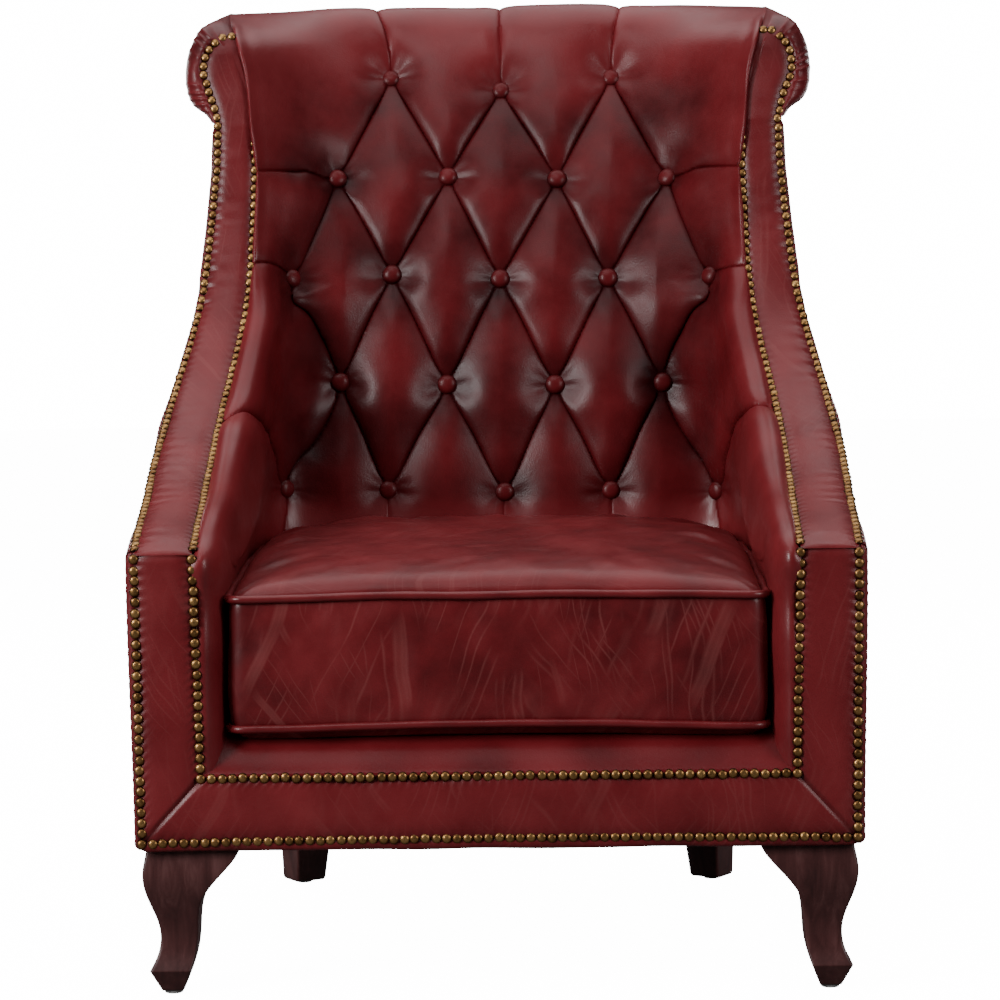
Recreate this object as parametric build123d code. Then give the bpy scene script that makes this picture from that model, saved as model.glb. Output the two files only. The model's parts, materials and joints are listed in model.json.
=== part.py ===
from build123d import *
import math
import os

# Button-tufted, scroll-backed leather lounge chair with a loose box cushion.
# Millimetres.  +Z up, the chair faces -Y, +X is its left-hand side when seated
# (to the right when it is looked at from the front).
# All coordinates below use y = 0 on the front face of the leather border;
# Y_SHIFT moves the origin under the middle of the bounding box.

# ---------------------------------------------------------------- dimensions
HALF_WIDTH = 389.0          # outside of the arms at the front
DEPTH_REAR = 800.0          # rearmost point of the rolled crest
CREST_TOP = 1103.5          # top of the rolled crest
NAIL_R = 5.3                # decorative nail head (7/16 in nails, head to head)
NAIL_H = 3.3
NAIL_PITCH = 11.11
SHANK_R, SHANK_L = 0.9, 7.0
Y_SHIFT = -(DEPTH_REAR - NAIL_H) / 2.0

FRAME_BOTTOM = 160.0        # underside of the seat rails
RAIL_TOP = 228.0            # top of the seat rails
BORDER_T = 10.0             # padded leather border on the front
BORDER_IN_X, BORDER_IN_Z = 314.0, 236.0   # inner corner of the front border
ARM_FRONT_Z = 472.0         # top of the arm facing
DECK_TOP = 276.0
CUSH_X, CUSH_Y0, CUSH_Y1 = 279.0, 20.0, 508.0
CUSH_Z0, CUSH_Z1, CUSH_CROWN = 279.0, 418.0, 53.0
COVER_T = 2.5               # cushion leather
WELT_R = 4.5
BUTTON_R, BUTTON_H = 11.5, 9.0
GLIDE_R, GLIDE_H = 10.0, 4.0
LEG_TOP = 158.0
BOLT_R = 4.0

# Path of the padded side band (y, z) with its outer and inner nail lines (x).
BAND = [  # y, z, x_outer, x_inner
    (0.0, 472.5, 379.0, 318.0),
    (41.0, 486.5, 380.0, 318.5),
    (84.0, 499.0, 381.3, 319.3),
    (126.0, 512.0, 382.0, 320.0),
    (168.6, 525.0, 383.4, 321.5),
    (210.6, 539.5, 384.8, 322.3),
    (251.0, 556.5, 385.2, 322.5),
    (292.0, 575.0, 384.4, 322.0),
    (331.0, 595.5, 382.0, 320.8),
    (369.0, 618.7, 378.5, 318.5),
    (404.0, 645.0, 373.8, 314.5),
    (436.0, 674.6, 367.4, 309.5),
    (466.0, 706.6, 361.0, 304.5),
    (490.0, 743.0, 354.8, 300.3),
    (508.0, 782.7, 350.2, 297.5),
    (523.4, 824.0, 346.6, 296.0),
    (536.5, 865.0, 343.0, 295.2),
    (546.0, 909.0, 339.8, 295.0),
    (553.0, 945.0, 339.4, 296.0),
]
# Nail line round the ear at the top of the band, from the outer side inwards.
EAR_NAILS = [  # x, y, z
    (339.4, 553.0, 945.0), (343.5, 558.0, 965.0), (349.0, 562.0, 982.0),
    (354.5, 565.0, 995.0), (357.5, 568.0, 1008.0), (357.5, 571.0, 1020.0),
    (354.0, 574.0, 1033.0), (347.5, 576.0, 1043.0), (339.5, 578.0, 1050.5),
    (330.5, 579.5, 1054.5), (321.0, 580.0, 1054.0), (312.0, 579.5, 1047.0),
    (305.0, 577.5, 1034.0), (300.5, 573.0, 1010.0), (297.5, 565.5, 980.0),
    (296.0, 553.0, 945.0),
]
# Outside of the chair in plan, from the front to the rear corner (y, x).
PLAN = [
    (0.0, 388.5), (60.0, 389.0), (126.0, 389.0), (210.0, 389.0), (292.0, 388.6), (331.0, 387.5),
    (369.0, 385.5), (404.0, 381.5), (436.0, 376.0), (466.0, 370.0), (490.0, 364.5),
    (523.0, 356.5), (553.0, 349.5), (590.0, 341.5), (630.0, 334.5), (670.0, 329.0),
    (710.0, 325.0), (750.0, 322.0), (800.0, 320.0),
]
# Tuft buttons: x, and by row y, z of the button seat on the inside back.
TUFT_ROWS = [
    (544.0, 498.0, [-248.0, -134.0, 0.0, 134.0, 248.0]),
    (564.0, 629.0, [-198.0, -66.0, 66.0, 198.0]),
    (594.0, 759.0, [-246.0, -133.0, 0.0, 133.0, 246.0]),
    (634.0, 882.0, [-201.0, -67.5, 67.5, 201.0]),
    (694.0, 1003.0, [-137.0, 0.0, 137.0]),
]
PAD_PROUD = 24.0            # crown of the tufted pad in front of the button seats
PAD_BEHIND = 28.0           # pad behind the button seats


# ------------------------------------------------------------------ helpers
def poly_face(points):
    return make_face(Polyline(*[Vector(*p) for p in points], close=True))


def prism_x(yz, x0, x1):
    return extrude(poly_face([(x0, y, z) for y, z in yz]), amount=x1 - x0, dir=(1, 0, 0))


def prism_y(xz, y0, y1):
    return extrude(poly_face([(x, y0, z) for x, z in xz]), amount=y1 - y0, dir=(0, 1, 0))


def prism_z(xy, z0, z1):
    return extrude(poly_face([(x, y, z0) for x, y in xy]), amount=z1 - z0, dir=(0, 0, 1))


def slab(x0, x1, y0, y1, z0, z1):
    return Pos((x0 + x1) / 2, (y0 + y1) / 2, (z0 + z1) / 2) * Box(x1 - x0, y1 - y0, z1 - z0)


def flip(shape):
    return mirror(shape, about=Plane.YZ)


def lerp_table(table, key, kcol, vcol):
    rows = sorted(table, key=lambda r: r[kcol])
    if key <= rows[0][kcol]:
        return rows[0][vcol]
    for a, b in zip(rows, rows[1:]):
        if key <= b[kcol]:
            t = (key - a[kcol]) / (b[kcol] - a[kcol])
            return a[vcol] + t * (b[vcol] - a[vcol])
    return rows[-1][vcol]


def plan_x(y):
    return lerp_table(PLAN, y, 0, 1)


def offset_path(yz, d):
    """Points moved by d to the left of the direction of travel (up and forward for the band)."""
    out = []
    for i, p in enumerate(yz):
        a, b = yz[max(0, i - 1)], yz[min(len(yz) - 1, i + 1)]
        ty, tz = b[0] - a[0], b[1] - a[1]
        n = math.hypot(ty, tz)
        out.append((p[0] - tz / n * d, p[1] + ty / n * d))
    return out


def resample(points, pitch, skip_first=False, skip_last=False):
    """Evenly spaced points and unit tangents along a 3-D polyline, at about the pitch given."""
    seg = [math.dist(a, b) for a, b in zip(points, points[1:])]
    total = sum(seg)
    n = max(1, round(total / pitch))
    out = []
    for k in range(n + 1):
        if (k == 0 and skip_first) or (k == n and skip_last):
            continue
        s = total * k / n
        for i, length in enumerate(seg):
            if s <= length or i == len(seg) - 1:
                t = min(1.0, s / length)
                a, b = points[i], points[i + 1]
                out.append((tuple(a[j] + t * (b[j] - a[j]) for j in range(3)),
                            tuple((b[j] - a[j]) / length for j in range(3))))
                break
            s -= length
    return out


def nail_solid():
    r, h = NAIL_R, NAIL_H
    big = (r * r + h * h) / (2 * h)
    mid = math.sqrt(big * big - (0.6 * r) ** 2) - (big - h)
    outline = [
        Line((0, 0, -SHANK_L), (SHANK_R, 0, -SHANK_L)),
        Line((SHANK_R, 0, -SHANK_L), (SHANK_R, 0, 0)),
        Line((SHANK_R, 0, 0), (r, 0, 0)),
        ThreePointArc((r, 0, 0), (0.6 * r, 0, mid), (0, 0, h)),
        Line((0, 0, h), (0, 0, -SHANK_L)),
    ]
    return revolve(make_face(outline), axis=Axis.Z, revolution_arc=360)


NAIL = nail_solid()


def nails(places):
    """A group of nails; each place is (point, outward direction)."""
    made = []
    for p, d in places:
        made.append(NAIL.moved(Plane(origin=p, z_dir=d).location))
    return made


parts = {}


def add(name, shape):
    """Keeps one node: a shape, or a list of separate solids."""
    if isinstance(shape, (list, tuple)):
        solids = [s for x in shape for s in x.solids()]
    else:
        solids = list(shape.solids())
    parts[name] = [s.moved(Location((0, Y_SHIFT, 0))) for s in solids]


# ------------------------------------------------------------- timber frame
band_yz = [(b[0], b[1]) for b in BAND]
under_band = offset_path(band_yz, -11.0)      # timber starts this far under the band's face

# seat rails
add("front_seat_rail", slab(-318, 318, 12, 40, FRAME_BOTTOM, RAIL_TOP))
add("rear_seat_rail", slab(-270, 270, 628, 655, FRAME_BOTTOM, RAIL_TOP))
side_rail = prism_z([(338, 72.5), (366, 72.5), (314, 584.5), (286, 584.5)], FRAME_BOTTOM, RAIL_TOP)
add("right_side_rail", side_rail)
add("left_side_rail", flip(side_rail))

# front posts carry the arm facings
front_post = slab(318.5, 374, 12, 72, FRAME_BOTTOM, 452)
add("right_front_post", front_post)
add("left_front_post", flip(front_post))

# swept arm boards under the band, sawn from plank
arm_idx = [i for i, b in enumerate(BAND) if 20 < b[0] < 445]
arm_top = [under_band[i] for i in arm_idx]
arm_low = [(y + 10, z - 34) for y, z in arm_top]
arm_board = prism_x([(12.0, 453.0)] + arm_top[0:] + list(reversed(arm_low[1:])) + [(73.0, 453.0)], 324, 362)
add("right_arm_board", arm_board)
add("left_arm_board", flip(arm_board))

# back posts: raked planks from the seat rails to the ears
post_front = [(585.0, FRAME_BOTTOM), (585.0, 300.0), (560.0, 520.0)]
post_front += [under_band[i] for i, b in enumerate(BAND) if b[0] > 500]
post_front += [(568.0, 957.0), (718.0, 957.0), (734.0, 990.0), (734.0, 1046.0), (768.0, 1046.0), (768.0, 982.0)]
post_rear = [(655.0, FRAME_BOTTOM), (662.0, 420.0), (676.0, 560.0), (696.0, 700.0), (722.0, 850.0), (742.0, 930.0)]
back_post = prism_x(post_front + list(reversed(post_rear)), 297, 313)
add("right_back_post", back_post)
add("left_back_post", flip(back_post))

# rails between the back posts
add("crest_rail", slab(-296.5, 296.5, 734, 768, 996, 1046))
add("lower_back_rail", slab(-296.5, 296.5, 628, 652, 300, 344))

# glued corner blocks under the deck, drilled for the leg bolts
def corner_block(points, bolt_xy):
    b = prism_z(points, FRAME_BOTTOM + 2.0, RAIL_TOP - 14)
    return b - Pos(bolt_xy[0], bolt_xy[1], 190) * Cylinder(BOLT_R + 0.25, 90)

FRONT_LEG_C = (389.0 - 62.0, 57.0)
REAR_LEG_TOP, REAR_LEG_FOOT = (247.0, 604.0), (257.0, 644.0)
FRONT_BOLT = (FRONT_LEG_C[0] - 36.0, FRONT_LEG_C[1] + 22.0)
front_block = corner_block([(317.5, 40.5), (317.5, 120), (240, 40.5)], FRONT_BOLT)
REAR_BOLT = (REAR_LEG_TOP[0], REAR_LEG_TOP[1])
rear_block = corner_block([(269, 627.5), (200, 627.5), (269, 555)], REAR_BOLT)
add("corner_blocks", [front_block, flip(front_block), rear_block, flip(rear_block)])

# seat springs: sinuous wire, clipped to the front and rear rails
def spring(xc):
    y0, y1, half, pitch, z = 30.0, 640.0, 22.0, 24.0, RAIL_TOP + 4.5
    pts = [(xc, y0, z), (xc, y0 + 26, z)]
    y, side = y0 + 26, 1
    while y + pitch < y1 - 26:
        pts += [(xc + side * half, y, z), (xc + side * half, y + pitch / 1.0, z)]
        y += pitch
        side = -side
    pts += [(xc, y, z), (xc, y1, z)]
    path = FilletPolyline(*pts, radius=8.0)
    return sweep(Plane(origin=path @ 0, z_dir=path % 0) * Circle(1.8), path=path)

SPRING_X = [-216.0, -108.0, 0.0, 108.0, 216.0]
add("seat_springs", [spring(x) for x in SPRING_X])

def clip(xc, y0, y1):
    z = RAIL_TOP + 4.5
    body = slab(xc - 8, xc + 8, y0, y1, RAIL_TOP, z + 3.6)
    return body - Pos(xc, (y0 + y1) / 2, z) * Rot(90, 0, 0) * Cylinder(2.0, 60)

add("spring_clips", [clip(x, 14, 38) for x in SPRING_X] + [clip(x, 630, 653) for x in SPRING_X])

# elastic straps behind the tufted pad
def seat_y(z):
    """Button seat line of the inside back."""
    rows = [(380.0, 534.0)] + [(r[1], r[0]) for r in TUFT_ROWS] + [(1040.0, 718.0)]
    return lerp_table(rows, z, 0, 1)

straps = []
for z in (400.0, 500.0, 600.0, 700.0, 800.0, 900.0):
    y = seat_y(z) + PAD_BEHIND + 17.0
    straps.append(prism_x([(y - 1, z - 25), (y + 1, z - 25), (y + 1, z + 25), (y - 1, z + 25)], -296.5, 296.5))
add("back_webbing", straps)

# ------------------------------------------------------------------- legs
def leg_profile(axis):
    """Sawn outline of the cabriole leg: distance from the outer corner (u) against height."""
    outer = [(15.5, LEG_TOP), (13.8, 149.0), (11.2, 133.0), (13.2, 114.0), (20.0, 93.5), (26.5, 72.0),
             (27.3, 57.0), (23.8, 41.5), (16.6, 27.0)]
    toe = [(28.0, GLIDE_H)]
    inner = [(51.0, GLIDE_H), (60.0, 27.0), (64.8, 44.0), (67.4, 64.0), (69.2, 88.0), (72.5, 101.0),
             (79.5, 113.0), (92.0, 128.0), (104.5, 141.5), (111.5, 151.0), (115.0, LEG_TOP)]
    put = (lambda u, z: (389.0 - u, -20.0, z)) if axis == "x" else (lambda u, z: (200.0, u - 4.0, z))
    P = lambda L: [Vector(*put(*p)) for p in L]
    edges = [
        Spline(*P(outer)), Polyline(*P([outer[-1]] + toe)), Line(*P([toe[-1], inner[0]])),
        Spline(*P(inner)), Line(*P([inner[-1], outer[0]])),
    ]
    face = make_face(edges)
    return extrude(face, amount=220, dir=(0, 1, 0) if axis == "x" else (1, 0, 0))

front_leg = leg_profile("x") & leg_profile("y")
front_leg = front_leg - Pos(FRONT_BOLT[0], FRONT_BOLT[1], LEG_TOP) * Cylinder(BOLT_R + 0.25, 30)
add("front_right_leg", front_leg)
add("front_left_leg", flip(front_leg))

def square(cx, cy, z, side, turn):
    return Plane(origin=(cx, cy, z)) * Rot(0, 0, turn) * Rectangle(side, side)

rear_leg = loft([square(*REAR_LEG_FOOT, GLIDE_H, 40.0, 58.0), square(*REAR_LEG_TOP, LEG_TOP, 60.0, 58.0)], ruled=True)
rear_leg = rear_leg - Pos(REAR_BOLT[0], REAR_BOLT[1], LEG_TOP) * Cylinder(BOLT_R + 0.25, 60)
add("rear_right_leg", rear_leg)
add("rear_left_leg", flip(rear_leg))

FRONT_FOOT = (389.0 - 39.5, 35.5)
glide = lambda x, y: Pos(x, y, GLIDE_H / 2) * Cylinder(GLIDE_R, GLIDE_H)
add("floor_glides", [glide(sx * p[0], p[1]) for p in (FRONT_FOOT, REAR_LEG_FOOT) for sx in (1, -1)])

def leg_plate(x, y):
    p = slab(x - 24, x + 24, y - 20, y + 20, LEG_TOP, FRAME_BOTTOM)
    return p - Pos(x, y, 160) * Cylinder(BOLT_R + 0.25, 20)

def nut(x, y):
    n = Pos(x, y, RAIL_TOP - 14) * extrude(RegularPolygon(7.5, 6), amount=6.5)
    return n - Pos(x, y, RAIL_TOP - 10) * Cylinder(BOLT_R + 0.1, 30)

bolts = [(FRONT_BOLT, LEG_TOP - 14), (REAR_BOLT, LEG_TOP - 28)]
add("leg_plates", [leg_plate(s * b[0][0], b[0][1]) for b in bolts for s in (1, -1)])
long_bolts = []
for b, low in bolts:
    for s in (1, -1):
        long_bolts.append(Pos(s * b[0], b[1], (low + RAIL_TOP - 6) / 2) * Cylinder(BOLT_R, RAIL_TOP - 6 - low))
add("leg_bolts", long_bolts)
add("leg_nuts", [nut(s * b[0][0], b[0][1]) for b in bolts for s in (1, -1)])

# -------------------------------------------------------------- upholstery
# front border, three mitred strips of padded leather
FB = FRAME_BOTTOM
add("front_border", prism_y([(-383.7, FB), (383.7, FB), (BORDER_IN_X, BORDER_IN_Z), (-BORDER_IN_X, BORDER_IN_Z)], 0, BORDER_T))
facing = prism_y([(383.7, FB + 0.6), (383.7, ARM_FRONT_Z), (BORDER_IN_X + 2, ARM_FRONT_Z), (BORDER_IN_X + 0.2, BORDER_IN_Z + 0.4)], 0, BORDER_T)
facing = facing - prism_x([(-1, ARM_FRONT_Z - 0.1), (11, 463.1), (11, 490), (-1, 490)], 300, 400)
add("right_arm_facing", facing)
add("left_arm_facing", flip(facing))

# padded lip between the border and the seat deck
add("front_lip", prism_x([(10.5, RAIL_TOP + 0.5), (10.5, BORDER_IN_Z), (40.0, DECK_TOP), (44.5, DECK_TOP), (44.5, RAIL_TOP + 9), (40.5, RAIL_TOP + 9), (40.5, RAIL_TOP + 0.5)], -286, 286)
    - [slab(x - 8.5, x + 8.5, 10, 40.6, RAIL_TOP, RAIL_TOP + 9) for x in SPRING_X])
add("seat_deck", slab(-286, 286, 45, 519, RAIL_TOP + 12, DECK_TOP))

# inside arms: padded panels between the deck and the band
arm_line = [(y, z) for y, z in offset_path(band_yz, -0.6) if 12 < y < 500]
lower = [(12.0, RAIL_TOP + 8), (519.0, RAIL_TOP + 8)]
inside_arm = prism_x([lower[0], (12.0, 475.0)] + arm_line[1:] + [(519.0, arm_line[-1][1] + 20), lower[1]], 290, 317.5)
inside_arm = inside_arm & prism_z([(280, 12), (314.5, 12)] + [(b[3] - 3.5, b[0]) for b in BAND if 12 < b[0] < 520] + [(280, 519.5)], 200, 800)
inside_arm = inside_arm - [prism_x(post_front + list(reversed(post_rear)), 296.4, 314)]
add("right_inside_arm", inside_arm.solids().sort_by(SortBy.VOLUME)[-1])
add("left_inside_arm", flip(inside_arm.solids().sort_by(SortBy.VOLUME)[-1]))

# padded side bands between the two nail lines
def band_section(i):
    y, z, xo, xi = BAND[i]
    (yt, zt), (yb, zb) = (y, z), offset_path(band_yz, -10.5)[i]
    if i == 0:
        yt, zt, yb, zb = 0.0, ARM_FRONT_Z + 0.4, 0.0, ARM_FRONT_Z - 9.6
        yb, zb = 10.4, 464.0
    xi, xo = xi - 3.0, min(xo + 2.5, min(plan_x(yt), plan_x(yb)) - 5.0)
    return Wire.make_polygon([Vector(xi, yt, zt), Vector(xo, yt, zt), Vector(xo, yb, zb), Vector(xi, yb, zb)], close=True)

side_band = Solid.make_loft([band_section(i) for i in range(len(BAND))], ruled=True)
add("right_side_band", side_band)
add("left_side_band", flip(side_band))

# ears: timber scroll block and the leather gathered round it
ear_out = [(318.0, 1095.0), (345.0, 1088.0), (364.0, 1072.0), (377.0, 1049.0), (382.5, 1022.0), (382.5, 1000.0),
           (378.0, 984.0), (368.0, 972.0), (352.0, 960.0), (343.0, 947.0)]
ear_in = [(318.0, 1072.0), (340.0, 1066.0), (354.0, 1050.0), (361.0, 1028.0), (361.0, 1008.0), (354.0, 990.0), (344.0, 975.0), (336.0, 948.0)]
EAR_RAKE = 27.0 / 109.0    # the ear leans back as it rises

def raked_prism(xz, dy0, dy1):
    pts = [(x, 553.0 + dy0 + (z - 945.0) * EAR_RAKE, z) for x, z in xz]
    return extrude(poly_face(pts), amount=dy1 - dy0, dir=(0, 1, 0))

ear_face = raked_prism([(297.0, 958.0), (299.0, 1000.0), (303.0, 1045.0), (310.0, 1060.0)] + ear_in[:-1] + [(337.0, 958.0)], 0, 12.5)
ear_block = raked_prism([(302.0, 958.0), (302.0, 1020.0), (310.0, 1034.0), (332.0, 1038.0), (346.0, 1030.0), (351.0, 1012.0), (347.0, 992.0), (338.0, 974.0), (334.0, 958.0)], 20.0, 82.0)
ear_block = ear_block & slab(200, 400, 500, 656, 900, 1200)
hollow = list(reversed([(x + 0.4, z + 0.2) for x, z in ear_in[1:-1]]))
ear_wrap = raked_prism([(318.0, 1072.4)] + ear_out + [(337.6, 948.0)] + hollow, 12.0, 200.0) & slab(200, 400, 500, 772, 900, 1200)
ear_cap = prism_y([(318.0, 966.0), (318.0, 1095.0)] + ear_out[1:-2] + [(352.0, 966.0)], 750, 772)
ear_wrap = ear_wrap + ear_cap
add("right_ear_block", ear_block)
add("left_ear_block", flip(ear_block))
add("right_ear_wrap", ear_wrap)
add("left_ear_wrap", flip(ear_wrap))
add("right_ear_face", ear_face)
add("left_ear_face", flip(ear_face))

# tufted inside back: two raked runs of padding with a tapered pocket at every button
def back_plan(y, wing):
    p, b = -PAD_PROUD, PAD_BEHIND
    return [(-288, y + p - wing), (-240, y + p - wing * 0.2), (-180, y + p), (180, y + p), (240, y + p - wing * 0.2), (288, y + p - wing), (288, y + b), (-288, y + b)]

def raked(y0, z0, y1, z1, wing=22.0):
    return extrude(poly_face([(x, y, z0) for x, y in back_plan(y0, wing)]), amount=math.hypot(y1 - y0, z1 - z0), dir=(0, y1 - y0, z1 - z0))

knots = [(542.5, 400.0), (544.0, 498.0), (564.0, 629.0), (594.0, 759.0), (634.0, 882.0), (683.0, 980.0)]
pad = raked(*knots[0], *knots[1], wing=0.0)
for a, b in zip(knots[1:], knots[2:]):
    pad = pad + raked(*a, *b)
button_places = []
for i, (y, z, xs) in enumerate(TUFT_ROWS):
    below = TUFT_ROWS[max(0, i - 1)]
    above = TUFT_ROWS[min(len(TUFT_ROWS) - 1, i + 1)]
    dy, dz = above[0] - below[0], above[1] - below[1]
    n = math.hypot(dy, dz)
    for x in xs:
        button_places.append(((x, y, z), (0.0, -dz / n, dy / n)))

def pocket(p, d):
    plane = Plane(origin=p, z_dir=d)
    return plane * Pos(0, 0, 24) * Cone(BUTTON_R + 2.0, 34.0, 50)

pad_pockets = [pocket(p, d) for p, d in button_places]
pad = pad - pad_pockets
add("inside_back_pad", pad.solids().sort_by(SortBy.VOLUME)[-1])

# rolled crest over the top rail
roll = [(658.5, 981.0), (672.0, 1020.0), (684.0, 1050.0), (700.0, 1079.0), (720.0, 1097.0), (744.0, CREST_TOP), (768.0, 1098.0),
        (786.0, 1080.0), (797.0, 1058.0), (DEPTH_REAR, 1032.0), (797.0, 1006.0), (788.0, 984.0), (771.0, 973.0), (769.0, 995.0),
        (769.0, 1047.0), (733.0, 1047.0), (733.0, 1000.0), (724.0, 981.0)]
crest = prism_x(roll, -317.5, 317.5) - pad_pockets - [slab(s * 308 - 10, s * 308 + 10, 600, 656.5, 950, 1100) for s in (1, -1)]
add("crest_roll", crest.solids().sort_by(SortBy.VOLUME)[-1])

# tuft buttons and the twine that holds each one back to the webbing
def button(p, d):
    plane = Plane(origin=p, z_dir=d)
    r, h = BUTTON_R, BUTTON_H
    big = (r * r + (h - 3) ** 2) / (2 * (h - 3))
    mid = math.sqrt(big * big - (0.6 * r) ** 2) - (big - (h - 3)) + 3
    edges = [Line((0, 0, 0), (r - 1.5, 0, 0)), Line((r - 1.5, 0, 0), (r, 0, 3)), ThreePointArc((r, 0, 3), (0.6 * r, 0, mid), (0, 0, h)), Line((0, 0, h), (0, 0, 0))]
    return revolve(make_face(edges), axis=Axis.Z, revolution_arc=360).moved(plane.location)

add("tuft_buttons", [button(p, d) for p, d in button_places])
twines = []
for p, d in button_places:
    plane = Plane(origin=p, z_dir=(-d[0], -d[1], -d[2]))
    cord = plane * Pos(0, 0, 15.3) * Cylinder(1.0, 30.0)
    toggle = plane * Pos(0, 0, 31.0) * Cylinder(5.0, 2.0)
    twines.append(cord + toggle)
add("button_twines", twines)

# outside panels: leather on card, following the plan of the chair
def plan_strip(o0, o1):
    outer = [(x - o0, y) for y, x in PLAN]
    inner = [(x - o1, y) for y, x in PLAN]
    return outer + list(reversed(inner))

rear_line = [(664.0, FB), (672.0, 420.0), (686.0, 560.0), (706.0, 700.0), (733.0, 850.0), (764.0, 960.0)]
panel_top = [(b[0], b[1]) for b in BAND]
side_outline = [(0.5, FB), (0.5, ARM_FRONT_Z)] + [(y, z - 1.5) for y, z in panel_top[1:]] + [(600.0, 946.0), (700.0, 962.0), (765.0, 964.0)] + list(reversed([(y + 1, z) for y, z in rear_line]))
outside_arm = prism_z(plan_strip(0.0, 4.5), FB, 1000) & prism_x(side_outline, 200, 420)
add("right_outside_arm", outside_arm)
add("left_outside_arm", flip(outside_arm))

strip = [(y + 1.5, z) for y, z in rear_line] + [(y + 6.5, z) for y, z in reversed(rear_line)]
inside_plan = [(x + 0.3, y) for y, x in PLAN if y > 500] + [(-x - 0.3, y) for y, x in reversed(PLAN) if y > 500]
outside_back = prism_x(strip, -340, 340) & prism_z(inside_plan, FB, 1000)
add("outside_back", outside_back)

# black dust cover under the seat, cut away round the leg plates
cover = prism_z([(370, 14), (370, 300), (330, 520), (308, 655), (-308, 655), (-330, 520), (-370, 300), (-370, 14)], 158.7, 159.7)
cover = cover - [slab(s * b[0][0] - 25, s * b[0][0] + 25, b[0][1] - 21, b[0][1] + 21, 150, 170) for b in bolts for s in (1, -1)]
add("dust_cover", cover.solids().sort_by(SortBy.VOLUME)[-1])

# ------------------------------------------------------------ seat cushion
def crowned(grow):
    """Box cushion with a crowned top; grow is the leather outside the foam."""
    x, y0, y1 = CUSH_X - COVER_T + grow, CUSH_Y0 + COVER_T - grow, CUSH_Y1 - COVER_T + grow
    z0, z1, c = CUSH_Z0 + COVER_T - grow, CUSH_Z1 + grow, CUSH_CROWN
    ym = (y0 + y1) / 2
    a = extrude(make_face([Line((-x, y0, z0), (x, y0, z0)), Line((x, y0, z0), (x, y0, z1)), ThreePointArc((x, y0, z1), (0, y0, z1 + c), (-x, y0, z1)), Line((-x, y0, z1), (-x, y0, z0))]), amount=y1 - y0, dir=(0, 1, 0))
    b = extrude(make_face([Line((-x, y0, z0), (-x, y1, z0)), Line((-x, y1, z0), (-x, y1, z1)), ThreePointArc((-x, y1, z1), (-x, ym, z1 + c), (-x, y0, z1)), Line((-x, y0, z1), (-x, y0, z0))]), amount=2 * x, dir=(1, 0, 0))
    s = a & b
    upright = [e for e in s.edges().filter_by(Axis.Z) if e.length > 50]
    return fillet(upright, 26.0 + grow)

foam = crowned(0.0)
outer = crowned(COVER_T)
shell = outer - foam
Z_TOP, Z_LOW = CUSH_Z1 - 6.0, CUSH_Z0 + 8.0
def welt(z):
    x, y0, y1, r = CUSH_X, CUSH_Y0, CUSH_Y1, 28.5
    path = Plane(origin=(0, (y0 + y1) / 2, z)) * RectangleRounded(2 * x + 3.0, y1 - y0 + 3.0, r)
    wire = path.wires()[0]
    return sweep(Plane(origin=wire @ 0, z_dir=wire % 0) * Circle(WELT_R), path=wire)

top_welt, low_welt = welt(Z_TOP), welt(Z_LOW)
groove_cut = [top_welt, low_welt]
big = 900
zip_slot = slab(-225, 225, CUSH_Y1 - COVER_T + 0.0, CUSH_Y1 + 1.0, 336, 350)
foam = foam - groove_cut
add("seat_cushion_foam", foam.solids().sort_by(SortBy.VOLUME)[-1])
add("seat_cushion_top_panel", (shell & slab(-big, big, -big, big, Z_TOP + 0.05, 600)) - groove_cut)
add("seat_cushion_boxing", ((shell & slab(-big, big, -big, big, Z_LOW + 0.05, Z_TOP - 0.05)) - groove_cut) - zip_slot)
add("seat_cushion_bottom_panel", (shell & slab(-big, big, -big, big, 200, Z_LOW - 0.05)) - groove_cut)
add("seat_cushion_top_welt", top_welt)
add("seat_cushion_bottom_welt", low_welt)
add("seat_cushion_zip", slab(-224.6, 224.6, CUSH_Y1 - COVER_T + 0.05, CUSH_Y1 - 0.1, 336.4, 349.6))

# ------------------------------------------------------------ nailhead trim
front = (0.0, -1.0, 0.0)
nail_x, nail_low = 378.0, 166.0
corner_out = (nail_x - 2.0, 0.0, nail_low)
corner_in = (313.0, 0.0, 234.5)
row_low = resample([(-corner_out[0], 0, nail_low), (corner_out[0], 0, nail_low)], NAIL_PITCH)
row_in = resample([(-corner_in[0], 0, corner_in[2]), (corner_in[0], 0, corner_in[2])], NAIL_PITCH)
add("front_border_nails", nails([(p, front) for p, t in row_low + row_in]))
col_out = resample([corner_out, (379.0, 0.0, 466.0)], NAIL_PITCH, skip_first=True)
col_in = resample([corner_in, (318.0, 0.0, 466.0)], NAIL_PITCH, skip_first=True)
right_face = nails([(p, front) for p, t in col_out + col_in])
add("right_facing_nails", right_face)
add("left_facing_nails", [flip(n) for n in right_face])

def band_nails(col):
    pts = [(b[col], b[0], b[1]) for b in BAND]
    out = []
    for p, t in resample(pts, NAIL_PITCH, skip_first=True):
        n = math.hypot(t[1], t[2])
        out.append((p, (0.0, -t[2] / n, t[1] / n)))
    return out

ear = [(p, (0.0, -0.971, 0.2405)) for p, t in resample(EAR_NAILS, NAIL_PITCH, skip_first=True, skip_last=True)]
right_band = nails(band_nails(2) + band_nails(3) + ear)
add("right_band_nails", right_band)
add("left_band_nails", [flip(n) for n in right_band])

# ------------------------------------------------------------------ export
os.makedirs("parts", exist_ok=True)
for name, solids in parts.items():
    shape = solids[0] if len(solids) == 1 else Compound(solids)
    export_step(shape, os.path.join("parts", name + ".step"))
print(len(parts), "nodes")
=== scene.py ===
import bpy
import bmesh
import json
import math
import numpy as np
from mathutils import Vector, Matrix
from mathutils.kdtree import KDTree


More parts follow.
